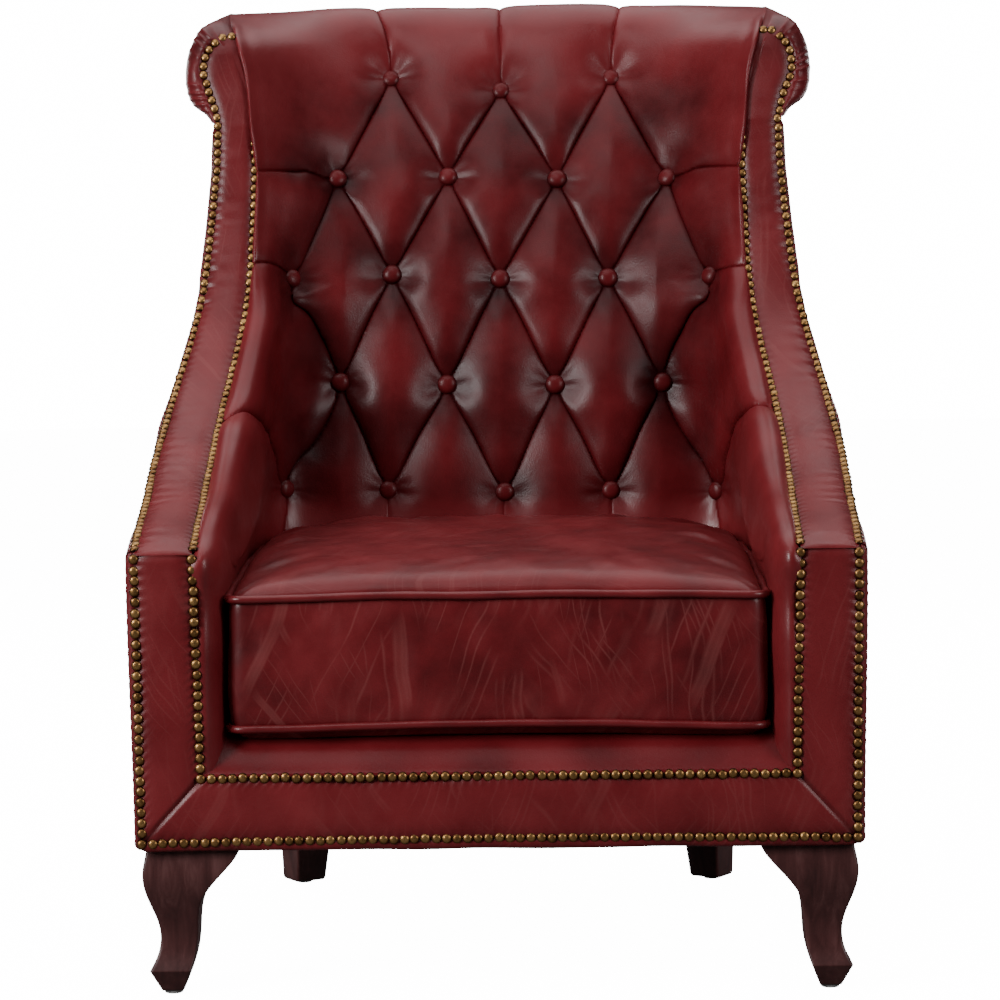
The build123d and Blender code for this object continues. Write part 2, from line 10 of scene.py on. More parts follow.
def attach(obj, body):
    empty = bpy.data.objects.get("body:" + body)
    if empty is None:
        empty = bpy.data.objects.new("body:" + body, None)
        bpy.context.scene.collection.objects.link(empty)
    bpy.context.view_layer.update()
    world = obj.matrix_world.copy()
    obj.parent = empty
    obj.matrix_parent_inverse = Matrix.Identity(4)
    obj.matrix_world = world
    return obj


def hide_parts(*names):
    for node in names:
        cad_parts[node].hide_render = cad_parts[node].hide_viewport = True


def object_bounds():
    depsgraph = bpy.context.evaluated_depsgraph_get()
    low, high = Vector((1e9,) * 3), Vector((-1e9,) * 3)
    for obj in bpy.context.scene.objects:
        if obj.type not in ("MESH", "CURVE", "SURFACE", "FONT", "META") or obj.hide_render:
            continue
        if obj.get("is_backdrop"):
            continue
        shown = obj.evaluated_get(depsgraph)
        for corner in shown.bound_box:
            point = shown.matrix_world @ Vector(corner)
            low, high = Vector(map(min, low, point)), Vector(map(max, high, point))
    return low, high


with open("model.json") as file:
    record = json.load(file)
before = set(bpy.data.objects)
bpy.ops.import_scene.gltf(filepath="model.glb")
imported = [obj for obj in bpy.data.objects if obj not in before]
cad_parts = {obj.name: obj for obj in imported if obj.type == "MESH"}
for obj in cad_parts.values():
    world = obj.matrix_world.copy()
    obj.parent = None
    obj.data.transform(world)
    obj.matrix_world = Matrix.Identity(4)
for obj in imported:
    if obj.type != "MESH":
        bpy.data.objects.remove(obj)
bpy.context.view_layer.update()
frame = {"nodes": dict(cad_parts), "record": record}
rng = np.random.default_rng(7)
YS = -0.39835          # design frame (y = 0 on the front leather) to the shared frame
ROOT, CUSH = "chair_frame", "loose_cushion"

# ------------------------------------------------------------------ curves
BAND = np.array([  # y, z, x_outer, x_inner (mm)
    (0.0, 472.5, 379.0, 318.0), (41.0, 486.5, 380.0, 318.5), (84.0, 499.0, 381.3, 319.3), (126.0, 512.0, 382.0, 320.0),
    (168.6, 525.0, 383.4, 321.5), (210.6, 539.5, 384.8, 322.3), (251.0, 556.5, 385.2, 322.5), (292.0, 575.0, 384.4, 322.0),
    (331.0, 595.5, 382.0, 320.8), (369.0, 618.7, 378.5, 318.5), (404.0, 645.0, 373.8, 314.5), (436.0, 674.6, 367.4, 309.5),
    (466.0, 706.6, 361.0, 304.5), (490.0, 743.0, 354.8, 300.3), (508.0, 782.7, 350.2, 297.5), (523.4, 824.0, 346.6, 296.0),
    (536.5, 865.0, 343.0, 295.2), (546.0, 909.0, 339.8, 295.0), (553.0, 945.0, 339.4, 296.0)]) / 1000.0
EAR = np.array([
    (339.4, 553.0, 945.0), (343.5, 558.0, 965.0), (349.0, 562.0, 982.0), (354.5, 565.0, 995.0), (357.5, 568.0, 1008.0),
    (357.5, 571.0, 1020.0), (354.0, 574.0, 1033.0), (347.5, 576.0, 1043.0), (339.5, 578.0, 1050.5), (330.5, 579.5, 1054.5),
    (321.0, 580.0, 1054.0), (312.0, 579.5, 1047.0), (305.0, 577.5, 1034.0), (300.5, 573.0, 1010.0), (297.5, 565.5, 980.0),
    (296.0, 553.0, 945.0)]) / 1000.0
PLAN = np.array([
    (0.0, 388.5), (60.0, 389.0), (126.0, 389.0), (210.0, 389.0), (292.0, 388.6), (331.0, 387.5), (369.0, 385.5), (404.0, 381.5),
    (436.0, 376.0), (466.0, 370.0), (490.0, 364.5), (523.0, 356.5), (553.0, 349.5), (590.0, 341.5), (630.0, 334.5), (670.0, 329.0),
    (710.0, 325.0), (750.0, 322.0), (800.0, 320.0)]) / 1000.0
REAR = np.array([(664.0, 160.0), (672.0, 420.0), (686.0, 560.0), (706.0, 700.0), (733.0, 850.0), (764.0, 960.0)]) / 1000.0
PITCH = 0.01111


def spline(t, P, q):
    """Natural cubic spline through P (n, d) at parameters t, read at q."""
    t, P, q = np.asarray(t, float), np.asarray(P, float), np.asarray(q, float)
    n = len(t)
    h = np.diff(t)
    A = np.zeros((n, n))
    B = np.zeros((n,) + P.shape[1:])
    A[0, 0] = A[-1, -1] = 1.0
    for i in range(1, n - 1):
        A[i, i - 1], A[i, i], A[i, i + 1] = h[i - 1], 2 * (h[i - 1] + h[i]), h[i]
        B[i] = 6 * ((P[i + 1] - P[i]) / h[i] - (P[i] - P[i - 1]) / h[i - 1])
    M = np.linalg.solve(A, B)
    i = np.clip(np.searchsorted(t, q, side="right") - 1, 0, n - 2)
    e = (slice(None),) + (None,) * (P.ndim - 1)
    a, b, hi = (t[i + 1] - q)[e], (q - t[i])[e], h[i][e]
    return (M[i] * a ** 3 + M[i + 1] * b ** 3) / (6 * hi) + (P[i] / hi - M[i] * hi / 6) * a + (P[i + 1] / hi - M[i + 1] * hi / 6) * b


def chord(P):
    d = np.linalg.norm(np.diff(P, axis=0), axis=1)
    return np.concatenate([[0], np.cumsum(np.maximum(d, 1e-5))])


def smooth(P, per):
    """A curve through P with per[k] steps on each span."""
    t = chord(P)
    q = np.concatenate([np.linspace(t[k], t[k + 1], n, endpoint=False) for k, n in enumerate(per)] + [[t[-1]]])
    return spline(t, P, q)


def even(P, pitch=None, n=None):
    """Evenly spaced points along the spline through P."""
    F = smooth(np.asarray(P, float), [24] * (len(P) - 1))
    t = chord(F)
    if n is None:
        n = int(round(t[-1] / pitch)) + 1
    q = np.linspace(0, t[-1], n)
    return np.stack([np.interp(q, t, F[:, k]) for k in range(F.shape[1])], axis=1)


def sstep(a, b, x):
    t = np.clip((np.asarray(x, float) - a) / (b - a), 0, 1)
    return t * t * (3 - 2 * t)


def unit(v):
    return v / np.maximum(np.linalg.norm(v, axis=-1, keepdims=True), 1e-12)


def wobble(P, scale, seed, octaves=2):
    """Smooth seeded noise in about -1..1 from sums of sines, at points P (..., 3), for sags and creases."""
    r = np.random.default_rng(seed)
    out = np.zeros(P.shape[:-1])
    amp, tot = 1.0, 0.0
    for o in range(octaves):
        for k in range(5):
            d = unit(r.normal(size=3)) * scale * (2 ** o) * r.uniform(0.7, 1.3)
            out += amp * np.sin(P @ d * 2 * math.pi + r.uniform(0, 6.28))
        tot += amp * 2.2
        amp *= 0.5
    return out / tot


def grid_normals(P):
    du = np.gradient(P, axis=0)
    dv = np.gradient(P, axis=1)
    return unit(np.cross(du, dv))


# ------------------------------------------------------------------ meshes
def make_object(name, verts, faces, mat, smooth_faces=True):
    me = bpy.data.meshes.new(name)
    v = np.asarray(verts, float).reshape(-1, 3).copy()
    v[:, 1] += YS
    me.from_pydata([tuple(p) for p in v], [], [tuple(int(i) for i in f) for f in faces])
    me.validate()
    if smooth_faces:
        me.polygons.foreach_set("use_smooth", [True] * len(me.polygons))
    ob = bpy.data.objects.new(name, me)
    bpy.context.scene.collection.objects.link(ob)
    if mat is not None:
        me.materials.append(mat)
    return ob


def grid_faces(n, m, start=0, flip=False, wrap=False):
    i, j = np.meshgrid(np.arange(n - 1), np.arange(m if wrap else m - 1), indexing="ij")
    j2 = (j + 1) % m
    a, b, c, d = i * m + j, i * m + j2, (i + 1) * m + j2, (i + 1) * m + j
    f = np.stack([a, b, c, d], axis=-1).reshape(-1, 4) + start
    return f[:, ::-1] if flip else f


def grids(name, parts, mat):
    """One object from several (grid, flip, wrap) parts."""
    V, F, s = [], [], 0
    for P, flip, wrap in parts:
        n, m = P.shape[:2]
        V.append(P.reshape(-1, 3))
        F.append(grid_faces(n, m, s, flip, wrap))
        s += n * m
    return make_object(name, np.concatenate(V), np.concatenate(F), mat)


def paint(ob, values, name="wear_and_shade"):
    """A number per vertex for the material: above 0.5 the leather is rubbed paler; below 0.5 it is darker, mostly
    painted shade in folds, hollows and seams.
    """
    at = ob.data.attributes.new(name, "FLOAT", "POINT")
    at.data.foreach_set("value", np.asarray(values, np.float32).reshape(-1))


def mir(P):
    Q = np.array(P, float)
    Q[..., 0] *= -1
    return Q


def tube(points, r, sides=10, closed=True):
    """Round cord along a 3-D line."""
    P = np.asarray(points, float)
    n = len(P)
    T = unit(np.roll(P, -1, 0) - np.roll(P, 1, 0)) if closed else unit(np.gradient(P, axis=0))
    up = np.tile(np.array([0, 0, 1.0]), (n, 1))
    side = unit(np.cross(T, up) + 1e-9)
    up2 = np.cross(side, T)
    a = np.linspace(0, 2 * math.pi, sides, endpoint=False)
    rr = np.broadcast_to(np.asarray(r, float), (n,))
    ring = P[:, None, :] + rr[:, None, None] * (np.cos(a)[None, :, None] * side[:, None, :] + np.sin(a)[None, :, None] * up2[:, None, :])
    if closed:
        ring = np.concatenate([ring, ring[:1]], axis=0)
    return ring


# --------------------------------------------------------------- materials
def new_mat(name):
    m = bpy.data.materials.new(name)
    m.use_nodes = True
    nt = m.node_tree
    for n in list(nt.nodes):
        nt.nodes.remove(n)
    out = nt.nodes.new("ShaderNodeOutputMaterial")
    bs = nt.nodes.new("ShaderNodeBsdfPrincipled")
    nt.links.new(bs.outputs[0], out.inputs[0])
    return m, nt, bs


def node(nt, kind, **kw):
    n = nt.nodes.new(kind)
    for k, v in kw.items():
        if k in n.inputs.keys():
            n.inputs[k].default_value = v
        else:
            setattr(n, k, v)
    return n


def ramp(nt, stops, src):
    r = nt.nodes.new("ShaderNodeValToRGB")
    el = r.color_ramp.elements
    while len(el) < len(stops):
        el.new(0.5)
    for e, (p, c) in zip(el, stops):
        e.position = p
        e.color = (*c, 1.0) if len(c) == 3 else c
    nt.links.new(src, r.inputs[0])
    return r


def mixc(nt, fac, a, b, mode="MIX"):
    m = nt.nodes.new("ShaderNodeMix")
    m.data_type = "RGBA"
    m.blend_type = mode
    for sock, val in ((m.inputs[0], fac), (m.inputs[6], a), (m.inputs[7], b)):
        if hasattr(val, "node"):
            nt.links.new(val, sock)
        else:
            sock.default_value = val if not isinstance(val, tuple) or len(val) == 4 else (*val, 1.0)
    return m.outputs[2]


def math_node(nt, op, a, b=None, c=None, clamp=False):
    m = nt.nodes.new("ShaderNodeMath")
    m.operation = op
    m.use_clamp = clamp
    for s, v in zip(m.inputs, (a, b, c)):
        if v is None:
            continue
        if hasattr(v, "node"):
            nt.links.new(v, s)
        else:
            s.default_value = v
    return m.outputs[0]


def leather(name, tone=1.0, scratch=0.35, streak=0.0, rough=0.38, cloud=0.30, spec=0.26, polish=0.0):
    """Waxed pull-up leather: oxblood on the flats, paler where it is rubbed; the per-vertex value also paints shade,
    near black in the folds and hollows, and paints light on the crest and arm rolls.
    """
    m, nt, bs = new_mat(name)
    co = node(nt, "ShaderNodeTexCoord").outputs["Object"]

    def noise(scale, detail=3.0, roughness=0.55, src=None, distortion=0.0):
        t = node(nt, "ShaderNodeTexNoise", Scale=scale, Detail=detail, Roughness=roughness, Distortion=distortion)
        nt.links.new(src or co, t.inputs["Vector"])
        return t.outputs["Fac"]

    def strokes(axis, freq, sharp, lo, hi, shift, drift=1.3):
        """Thin scratches: level lines of a noise that runs along one axis only, bent a little and kept only in patches."""
        dp = node(nt, "ShaderNodeVectorMath", operation="DOT_PRODUCT")
        nt.links.new(co, dp.inputs[0])
        dp.inputs[1].default_value = tuple(freq * a for a in axis)
        w = math_node(nt, "ADD", math_node(nt, "ADD", dp.outputs["Value"], shift), math_node(nt, "MULTIPLY", noise(9.0 + 0.2 * shift, 1.0, 0.5), drift))
        line = node(nt, "ShaderNodeTexNoise", noise_dimensions="1D", Scale=1.0, Detail=0.0)
        nt.links.new(w, line.inputs["W"])
        ln = math_node(nt, "SUBTRACT", 1.0, math_node(nt, "MULTIPLY", math_node(nt, "ABSOLUTE", math_node(nt, "SUBTRACT", line.outputs["Fac"], 0.5)), sharp), clamp=True)
        mq = node(nt, "ShaderNodeMapping")
        mq.inputs["Location"].default_value = (shift * 0.7, shift * 1.3 + 2.0, shift * 0.4 - 1.0)
        nt.links.new(co, mq.inputs["Vector"])
        pt = ramp(nt, [(lo, (0, 0, 0)), (hi, (1, 1, 1))], noise(15.0, 1.0, 0.5, mq.outputs[0])).outputs[0]
        return math_node(nt, "MULTIPLY", ln, pt)

    wear_and_shade = node(nt, "ShaderNodeAttribute", attribute_name="wear_and_shade").outputs["Fac"]
    big = noise(12.0, 4.0, 0.6)
    mid = noise(46.0, 5.0, 0.65)
    k = tone
    deep = (0.0165 * k, 0.0011 * k, 0.0017 * k)
    body = (0.112 * k, 0.0076 * k, 0.0102 * k)
    light = (0.175 * k, 0.0175 * k, 0.0210 * k)
    shade = math_node(nt, "ADD", math_node(nt, "MULTIPLY", math_node(nt, "SUBTRACT", big, 0.5), cloud), math_node(nt, "MULTIPLY", math_node(nt, "SUBTRACT", mid, 0.5), 0.16))
    amount = math_node(nt, "ADD", math_node(nt, "MULTIPLY", wear_and_shade, 0.66), math_node(nt, "ADD", shade, 0.20))
    col = ramp(nt, [(0.22, deep), (0.58, body), (0.88, light)], amount).outputs[0]
    if scratch > 0:
        a = strokes((1.0, 0.9, -0.42), 40.0, 26.0, 0.47, 0.64, 3.1)
        b = strokes((1.0, 0.9, 0.16), 50.0, 30.0, 0.48, 0.66, 11.7)
        c = strokes((1.0, -0.9, 0.62), 38.0, 26.0, 0.49, 0.66, 23.3)
        soft = strokes((1.0, 0.8, -0.30), 34.0, 9.0, 0.48, 0.68, 37.9)
        scr = math_node(nt, "MAXIMUM", math_node(nt, "MAXIMUM", a, b), math_node(nt, "MAXIMUM", c, math_node(nt, "MULTIPLY", soft, 0.50)))
        if streak > 0:
            level = node(nt, "ShaderNodeAttribute", attribute_name="level").outputs["Fac"]
            d = strokes((0.42, 1.0, 0.3), 56.0, 30.0, 0.48, 0.64, 41.1)
            e = strokes((1.0, -0.55, 0.2), 60.0, 30.0, 0.49, 0.65, 53.7)
            top_l = math_node(nt, "MULTIPLY", math_node(nt, "MAXIMUM", d, e), streak)
            scr = math_node(nt, "ADD", math_node(nt, "MULTIPLY", scr, math_node(nt, "SUBTRACT", 1.0, level)), math_node(nt, "MULTIPLY", top_l, level))
        col = mixc(nt, math_node(nt, "MULTIPLY", scr, scratch), col, (0.25, 0.075, 0.070))
    nt.links.new(col, bs.inputs["Base Color"])
    rg = math_node(nt, "ADD", rough - 0.11, math_node(nt, "MULTIPLY", mid, 0.22))
    nt.links.new(rg, bs.inputs["Roughness"])
    bs.inputs["Specular IOR Level"].default_value = spec
    if polish > 0:      # rolls and crest are rubbed to a higher shine than the hollows; in the folds the shine is taken away as painted shade on the reflections
        gl = node(nt, "ShaderNodeAttribute", attribute_name="gloss_and_fold_shade").outputs["Fac"]
        nt.links.new(math_node(nt, "ADD", spec, math_node(nt, "MULTIPLY", gl, polish)), bs.inputs["Specular IOR Level"])
    # pebbled grain, pores and fine creases
    cell = node(nt, "ShaderNodeTexVoronoi", Scale=560.0, feature="F1")
    nt.links.new(co, cell.inputs["Vector"])
    fine = noise(210.0, 5.0, 0.62)
    h = math_node(nt, "ADD", math_node(nt, "MULTIPLY", cell.outputs["Distance"], 0.55), math_node(nt, "MULTIPLY", fine, 0.75))
    bp = node(nt, "ShaderNodeBump", Strength=0.12, Distance=0.0012)
    nt.links.new(h, bp.inputs["Height"])
    nt.links.new(bp.outputs[0], bs.inputs["Normal"])
    return m


def wood(name):
    m, nt, bs = new_mat(name)
    co = node(nt, "ShaderNodeTexCoord").outputs["Object"]
    mp = node(nt, "ShaderNodeMapping")
    mp.inputs["Scale"].default_value = (34.0, 34.0, 3.6)
    nt.links.new(co, mp.inputs["Vector"])
    n1 = node(nt, "ShaderNodeTexNoise", Scale=2.2, Detail=8.0, Roughness=0.65, Distortion=0.5)
    nt.links.new(mp.outputs[0], n1.inputs["Vector"])
    n2 = node(nt, "ShaderNodeTexNoise", Scale=9.0, Detail=3.0, Roughness=0.6)
    nt.links.new(co, n2.inputs["Vector"])
    f = math_node(nt, "ADD", math_node(nt, "MULTIPLY", n1.outputs["Fac"], 0.75), math_node(nt, "MULTIPLY", n2.outputs["Fac"], 0.25))
    c = ramp(nt, [(0.30, (0.0210, 0.0054, 0.0054)), (0.52, (0.0580, 0.0168, 0.0164)), (0.74, (0.115, 0.0440, 0.0420))], f).outputs[0]
    nt.links.new(c, bs.inputs["Base Color"])
    rg = math_node(nt, "ADD", 0.30, math_node(nt, "MULTIPLY", n1.outputs["Fac"], 0.18))
    nt.links.new(rg, bs.inputs["Roughness"])
    bs.inputs["Specular IOR Level"].default_value = 0.35
    bp = node(nt, "ShaderNodeBump", Strength=0.10, Distance=0.001)
    nt.links.new(n1.outputs["Fac"], bp.inputs["Height"])
    nt.links.new(bp.outputs[0], bs.inputs["Normal"])
    return m


def brass(name):
    m, nt, bs = new_mat(name)
    co = node(nt, "ShaderNodeTexCoord").outputs["Object"]
    n1 = node(nt, "ShaderNodeTexNoise", Scale=140.0, Detail=4.0, Roughness=0.6)
    n2 = node(nt, "ShaderNodeTexNoise", Scale=700.0, Detail=3.0, Roughness=0.6)
    for n in (n1, n2):
        nt.links.new(co, n.inputs["Vector"])
    rim = node(nt, "ShaderNodeAttribute", attribute_name="wear_and_shade").outputs["Fac"]
    f = math_node(nt, "ADD", math_node(nt, "MULTIPLY", rim, 0.70), math_node(nt, "MULTIPLY", n1.outputs["Fac"], 0.45))
    c = ramp(nt, [(0.30, (0.020, 0.008, 0.004)), (0.62, (0.155, 0.072, 0.022)), (0.97, (0.42, 0.235, 0.085))], f).outputs[0]
    nt.links.new(c, bs.inputs["Base Color"])
    bs.inputs["Metallic"].default_value = 0.9
    rg = math_node(nt, "ADD", 0.25, math_node(nt, "MULTIPLY", n2.outputs["Fac"], 0.22))
    nt.links.new(rg, bs.inputs["Roughness"])
    bp = node(nt, "ShaderNodeBump", Strength=0.12, Distance=0.0006)
    nt.links.new(n2.outputs["Fac"], bp.inputs["Height"])
    nt.links.new(bp.outputs[0], bs.inputs["Normal"])
    return m


def cloth(name, dark, lightc, scale=900.0, rough=0.9):
    m, nt, bs = new_mat(name)
    co = node(nt, "ShaderNodeTexCoord").outputs["Object"]
    w1 = node(nt, "ShaderNodeTexWave", Scale=scale, Distortion=0.6, wave_type="BANDS", bands_direction="X")
    w2 = node(nt, "ShaderNodeTexWave", Scale=scale, Distortion=0.6, wave_type="BANDS", bands_direction="Y")
    n1 = node(nt, "ShaderNodeTexNoise", Scale=40.0, Detail=5.0, Roughness=0.65)
    for n in (w1, w2, n1):
        nt.links.new(co, n.inputs["Vector"])
    h = math_node(nt, "MAXIMUM", w1.outputs["Fac"], w2.outputs["Fac"])
    f = math_node(nt, "ADD", math_node(nt, "MULTIPLY", h, 0.5), math_node(nt, "MULTIPLY", n1.outputs["Fac"], 0.5))
    c = ramp(nt, [(0.25, dark), (0.85, lightc)], f).outputs[0]
    nt.links.new(c, bs.inputs["Base Color"])
    bs.inputs["Roughness"].default_value = rough
    bp = node(nt, "ShaderNodeBump", Strength=0.35, Distance=0.0008)
    nt.links.new(h, bp.inputs["Height"])
    nt.links.new(bp.outputs[0], bs.inputs["Normal"])
    return m


def plain(name, dark, lightc, rough, metallic=0.0, scale=60.0):
    m, nt, bs = new_mat(name)
    co = node(nt, "ShaderNodeTexCoord").outputs["Object"]
    n1 = node(nt, "ShaderNodeTexNoise", Scale=scale, Detail=5.0, Roughness=0.65)
    nt.links.new(co, n1.inputs["Vector"])
    c = ramp(nt, [(0.3, dark), (0.7, lightc)], n1.outputs["Fac"]).outputs[0]
    nt.links.new(c, bs.inputs["Base Color"])
    bs.inputs["Roughness"].default_value = rough
    bs.inputs["Metallic"].default_value = metallic
    bp = node(nt, "ShaderNodeBump", Strength=0.15, Distance=0.0006)
    nt.links.new(n1.outputs["Fac"], bp.inputs["Height"])
    nt.links.new(bp.outputs[0], bs.inputs["Normal"])
    return m


M_TUFT = leather("leather_tufted", 1.0, 0.0, rough=0.34, spec=0.16, polish=0.12)
M_BAND = leather("leather_band", 1.0, 0.14, spec=0.26)
M_OUT = leather("leather_outside", 0.95, 0.12, rough=0.42)
M_CUSH = leather("leather_cushion", 1.0, 0.27, streak=0.62, cloud=0.62, spec=0.24)
M_WELT = leather("leather_welt", 1.0, 0.0, rough=0.33, spec=0.32)
M_WOOD = wood("leg_mahogany")
M_BRASS = brass("antique_brass")
M_DUST = cloth("dust_cloth", (0.010, 0.010, 0.011), (0.028, 0.028, 0.030))
M_DECK = cloth("deck_cloth", (0.022, 0.006, 0.006), (0.055, 0.016, 0.016))
M_GLIDE = plain("glide_plastic", (0.30, 0.30, 0.30), (0.50, 0.50, 0.49), 0.5)
M_PINE = plain("frame_timber", (0.30, 0.19, 0.10), (0.48, 0.33, 0.19), 0.7, scale=25.0)
M_STEEL = plain("spring_steel", (0.22, 0.22, 0.23), (0.42, 0.42, 0.43), 0.35, 1.0, 200.0)
M_WEB = cloth("webbing", (0.25, 0.21, 0.15), (0.42, 0.37, 0.28), 500.0)
M_FOAM = plain("foam", (0.55, 0.48, 0.33), (0.70, 0.63, 0.47), 0.95, scale=300.0)
M_ZIP = plain("zip_tape", (0.015, 0.006, 0.006), (0.04, 0.015, 0.015), 0.6, scale=300.0)

# carried-over CAD nodes get finished materials
SLOT_MAT = {"frame_timber": M_PINE, "steel": M_STEEL, "glide": M_GLIDE, "dust_cloth": M_DUST, "webbing": M_WEB, "foam": M_FOAM,
            "leather": M_OUT, "brass_nails": M_BRASS, "leg_timber": M_WOOD, "zip": M_ZIP}
for sp in frame["record"]["subparts"]:
    ob = frame["nodes"].get(sp["node"])
    if ob is not None:
        ob.data.materials.clear()
        ob.data.materials.append(SLOT_MAT[sp["material_slot"]])


def place(ob, body, slot, *nodes, fill=None):
    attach(ob, body)
    if nodes:
        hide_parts(*nodes)
    return ob


# ------------------------------------------------- band path and its frame
band_t = chord(BAND[:, :2])


def band_at(s):
    """y, z, x_outer, x_inner, ny, nz at arc length s along the band."""
    s = np.atleast_1d(np.asarray(s, float))
    P = spline(band_t, BAND, np.clip(s, 0, band_t[-1]))
    A = spline(band_t, BAND[:, :2], np.clip(s + 0.004, 0, band_t[-1]))
    B = spline(band_t, BAND[:, :2], np.clip(s - 0.004, 0, band_t[-1]))
    T = unit(A - B)
    return np.concatenate([P, -T[:, 1:2], T[:, 0:1]], axis=1)


def band_s_of_z(z):
    q = np.linspace(0, band_t[-1], 800)
    return np.interp(z, spline(band_t, BAND, q)[:, 1], q)



# ------------------------------------- inside shell: tufted back, arms, crest
# Rows of 13 control points from the middle of the chair to its edge.
X1 = np.array([1.0, 0, 0])


def row_front(xe, ze, zc):
    """Row that starts on the upright front edge of the arm."""
    zz = lambda f: zc + f * (ze - zc)
    return [(0, .519, zc), (.10, .519, zc), (.18, .518, zc), (.235, .512, zc), (.265, .498, zc), (.281, .470, zc), (.2865, .285, zz(.45)),
            (.2875, .095, zz(.92)), (.2875, .060, ze), (.2905, .030, ze), (.2985, .0085, ze), (.3095, .0002, ze), (xe + .0005, .003, ze)]


def row_arm(s, yc, zc, xin, full=1.0):
    """Row over the arm's padded roll and back down its inside to the tufted back."""
    y, z, xo, xe, ny, nz = band_at(s)[0]
    E = np.array([xe, y, z])
    N = np.array([0, ny, nz])
    j12 = E - 0.003 * N + 0.0005 * X1
    j11 = E + full * (-0.0055 * X1 + 0.0050 * N)
    j10 = E + full * (-0.0150 * X1 + 0.0085 * N)
    j9 = E + full * (-0.0265 * X1 + 0.0050 * N)
    j8 = E + full * (-0.0355 * X1 - 0.0090 * N)
    j7 = E + full * (-0.0395 * X1 - 0.0290 * N) + np.array([0, .010, 0])
    j5 = np.array([min(xin, j8[0] - 0.003), yc - .052, zc + .12 * (z - zc)])
    j4 = np.array([j5[0] - .0165, yc - .021, zc + .03 * (z - zc)])
    j3 = np.array([min(.2345, j4[0] - .016), yc - .006, zc])
    j6 = j7 + (j5 - j7) * 0.52
    j6[0] = min(j7[0], j5[0]) - .0005 + .5 * abs(j7[0] - j5[0])
    return [(0, yc, zc), (.10, yc, zc), (.18, yc - .001, zc), j3, j4, j5, j6, j7, j8, j9, j10, j11, j12]


def panel(L, edge, yc, zc, ts):
    """Control points of a flat padded panel from its edge line L back to the middle."""
    pts = [(0, yc, zc), (.10, yc, zc), (.165, yc - .004 * (yc - L[1]), zc)]
    for t in ts:
        S = 1 - (1 - t) ** 1.7
        pts.append((L[0] - t * (L[0] - .165), L[1] + (yc - L[1]) * S, L[2] + (zc - L[2]) * S))
    return pts + [tuple(L), tuple(edge)]


TS = (.79, .62, .50, .39, .29, .20, .12, .05)


def row_wing(E, N, yc, zc, k, over=0.0):
    """Row across the upper back; k = 0 keeps the round roll, 1 a crisp edge; over pushes the edge out over the nails."""
    E, N = np.array(E, float), np.array([0, N[0], N[1]], float)
    put = lambda a, b: E + a * X1 + b * N
    flat_row = panel(put(-.0040 + .0085 * over, .0072 + .0030 * over), put(.0005 + .0062 * over, -.003 + .0045 * over), yc, zc, TS)
    j12, j11, j10, j9, j8 = put(.0005, -.003), put(-.0055, .0050), put(-.0145, .0085), put(-.0255, .0050), put(-.0345, -.0080)
    d = yc - j8[1]
    pts = [(0, yc, zc), (.10, yc, zc), (.165, yc - .02 * d, zc)]
    for x, f, g in ((.205, .15, .05), (.229, .36, .16), (.247, .58, .34), (.2575, .76, .56), (j8[0] - .0050, .90, .80)):
        pts.append((min(x, j8[0] - .0045), yc - f * d, zc + g * (j8[2] - zc)))
    round_row = pts + [j8, j9, j10, j11, j12]
    return [tuple((1 - k) * np.array(p) + k * np.array(q)) for p, q in zip(round_row, flat_row)]


def row_crest(E, C):
    E = np.array(E, float)
    first = np.array(panel(E, E, C[0], C[1], (.79, .62, .50, .39, .29, .20, .125, .065, .025)))
    return [tuple(p) for p in first[:-1]]


R_SPEC = []
for ze, zc in ((.236, .250), (.30, .30), (.38, .365), (.435, .415)):
    R_SPEC.append((row_front(.3135 + .0045 * (ze - .236) / .234, ze, zc), 10 if ze < .43 else 14))
c0 = row_front(.318, .4640, .440)
c0[7] = (.2872, .090, .4560); c0[8] = (.2872, .066, .4655); c0[9] = (.2905, .036, .4700); c0[10] = (.2990, .0130, .4725); c0[11] = (.3100, .0040, .4725); c0[12] = (.3185, .005, .468)
R_SPEC.append((c0, 16))
for s, yc, zc, xin, full, n in ((.075, .5193, .447, .2810, .80, 16), (.14, .5195, .457, .2790, .93, 22), (.22, .5198, .473, .2760, 1.0, 24),
                                (.33, .520, .500, .2710, 1.04, 33), (.44, .5315, .572, .2670, 1.04, 30)):
    R_SPEC.append((row_arm(s, yc, zc, xin, full), n))
arm_top = row_arm(.525, .541, .635, .2640, 1.0)      # the last row of the roll already opens towards the wing
arm_top[3:8] = [(.2180, .5365, .6360), (.2395, .5230, .6390), (.2560, .5040, .6480), (.2630, .4920, .6640), (.2665, .4815, .6810)]
R_SPEC.append((arm_top, 30))
for zE, yc, zc, k, n in ((.735, .5555, .702, 0.25, 30), (.778, .571, .766, .7, 30), (.832, .590, .829, 1.0, 30), (.888, .6115, .892, 1.0, 30)):
    y, z, xo, xe, ny, nz = band_at(band_s_of_z(zE))[0]
    R_SPEC.append((row_wing((xe, y, z), (ny, nz), yc, zc, k), n))
R_SPEC.append((row_wing((.296, .553, .945), (-.97, .24), .640, .955, 1.0, .75), 28))
R_SPEC.append((row_wing((.3015, .5715, 1.010), (-.96, .27), .670, 1.012, 1.0, 1.0), 24))
R_SPEC.append((row_wing((.3130, .5830, 1.046), (-.86, .50), .690, 1.053, 1.0, .9), 16))
for E, C, n in (((.3300, .636, 1.0765), (.706, 1.0805), 14), ((.3365, .690, 1.0915), (.724, 1.0960), 14), ((.3375, .742, 1.0950), (.747, 1.1030), 14),
                ((.3370, .778, 1.0815), (.777, 1.0920), 14), ((.3350, .797, 1.046), (.799, 1.052), 12), ((.3330, .796, 1.005), (.798, 1.007), 12),
                ((.3300, .783, .975), (.785, .977), 6), ((.3270, .770, .958), (.771, .960), 0)):
    R_SPEC.append((row_crest(E, C), n))
CTRL = np.array([r[0] for r in R_SPEC], float)          # rows, 13, 3
ROW_N = [r[1] for r in R_SPEC[:-1]]
COL_N = [44, 34, 24, 14, 12, 34, 34, 14, 9, 8, 8, 6]


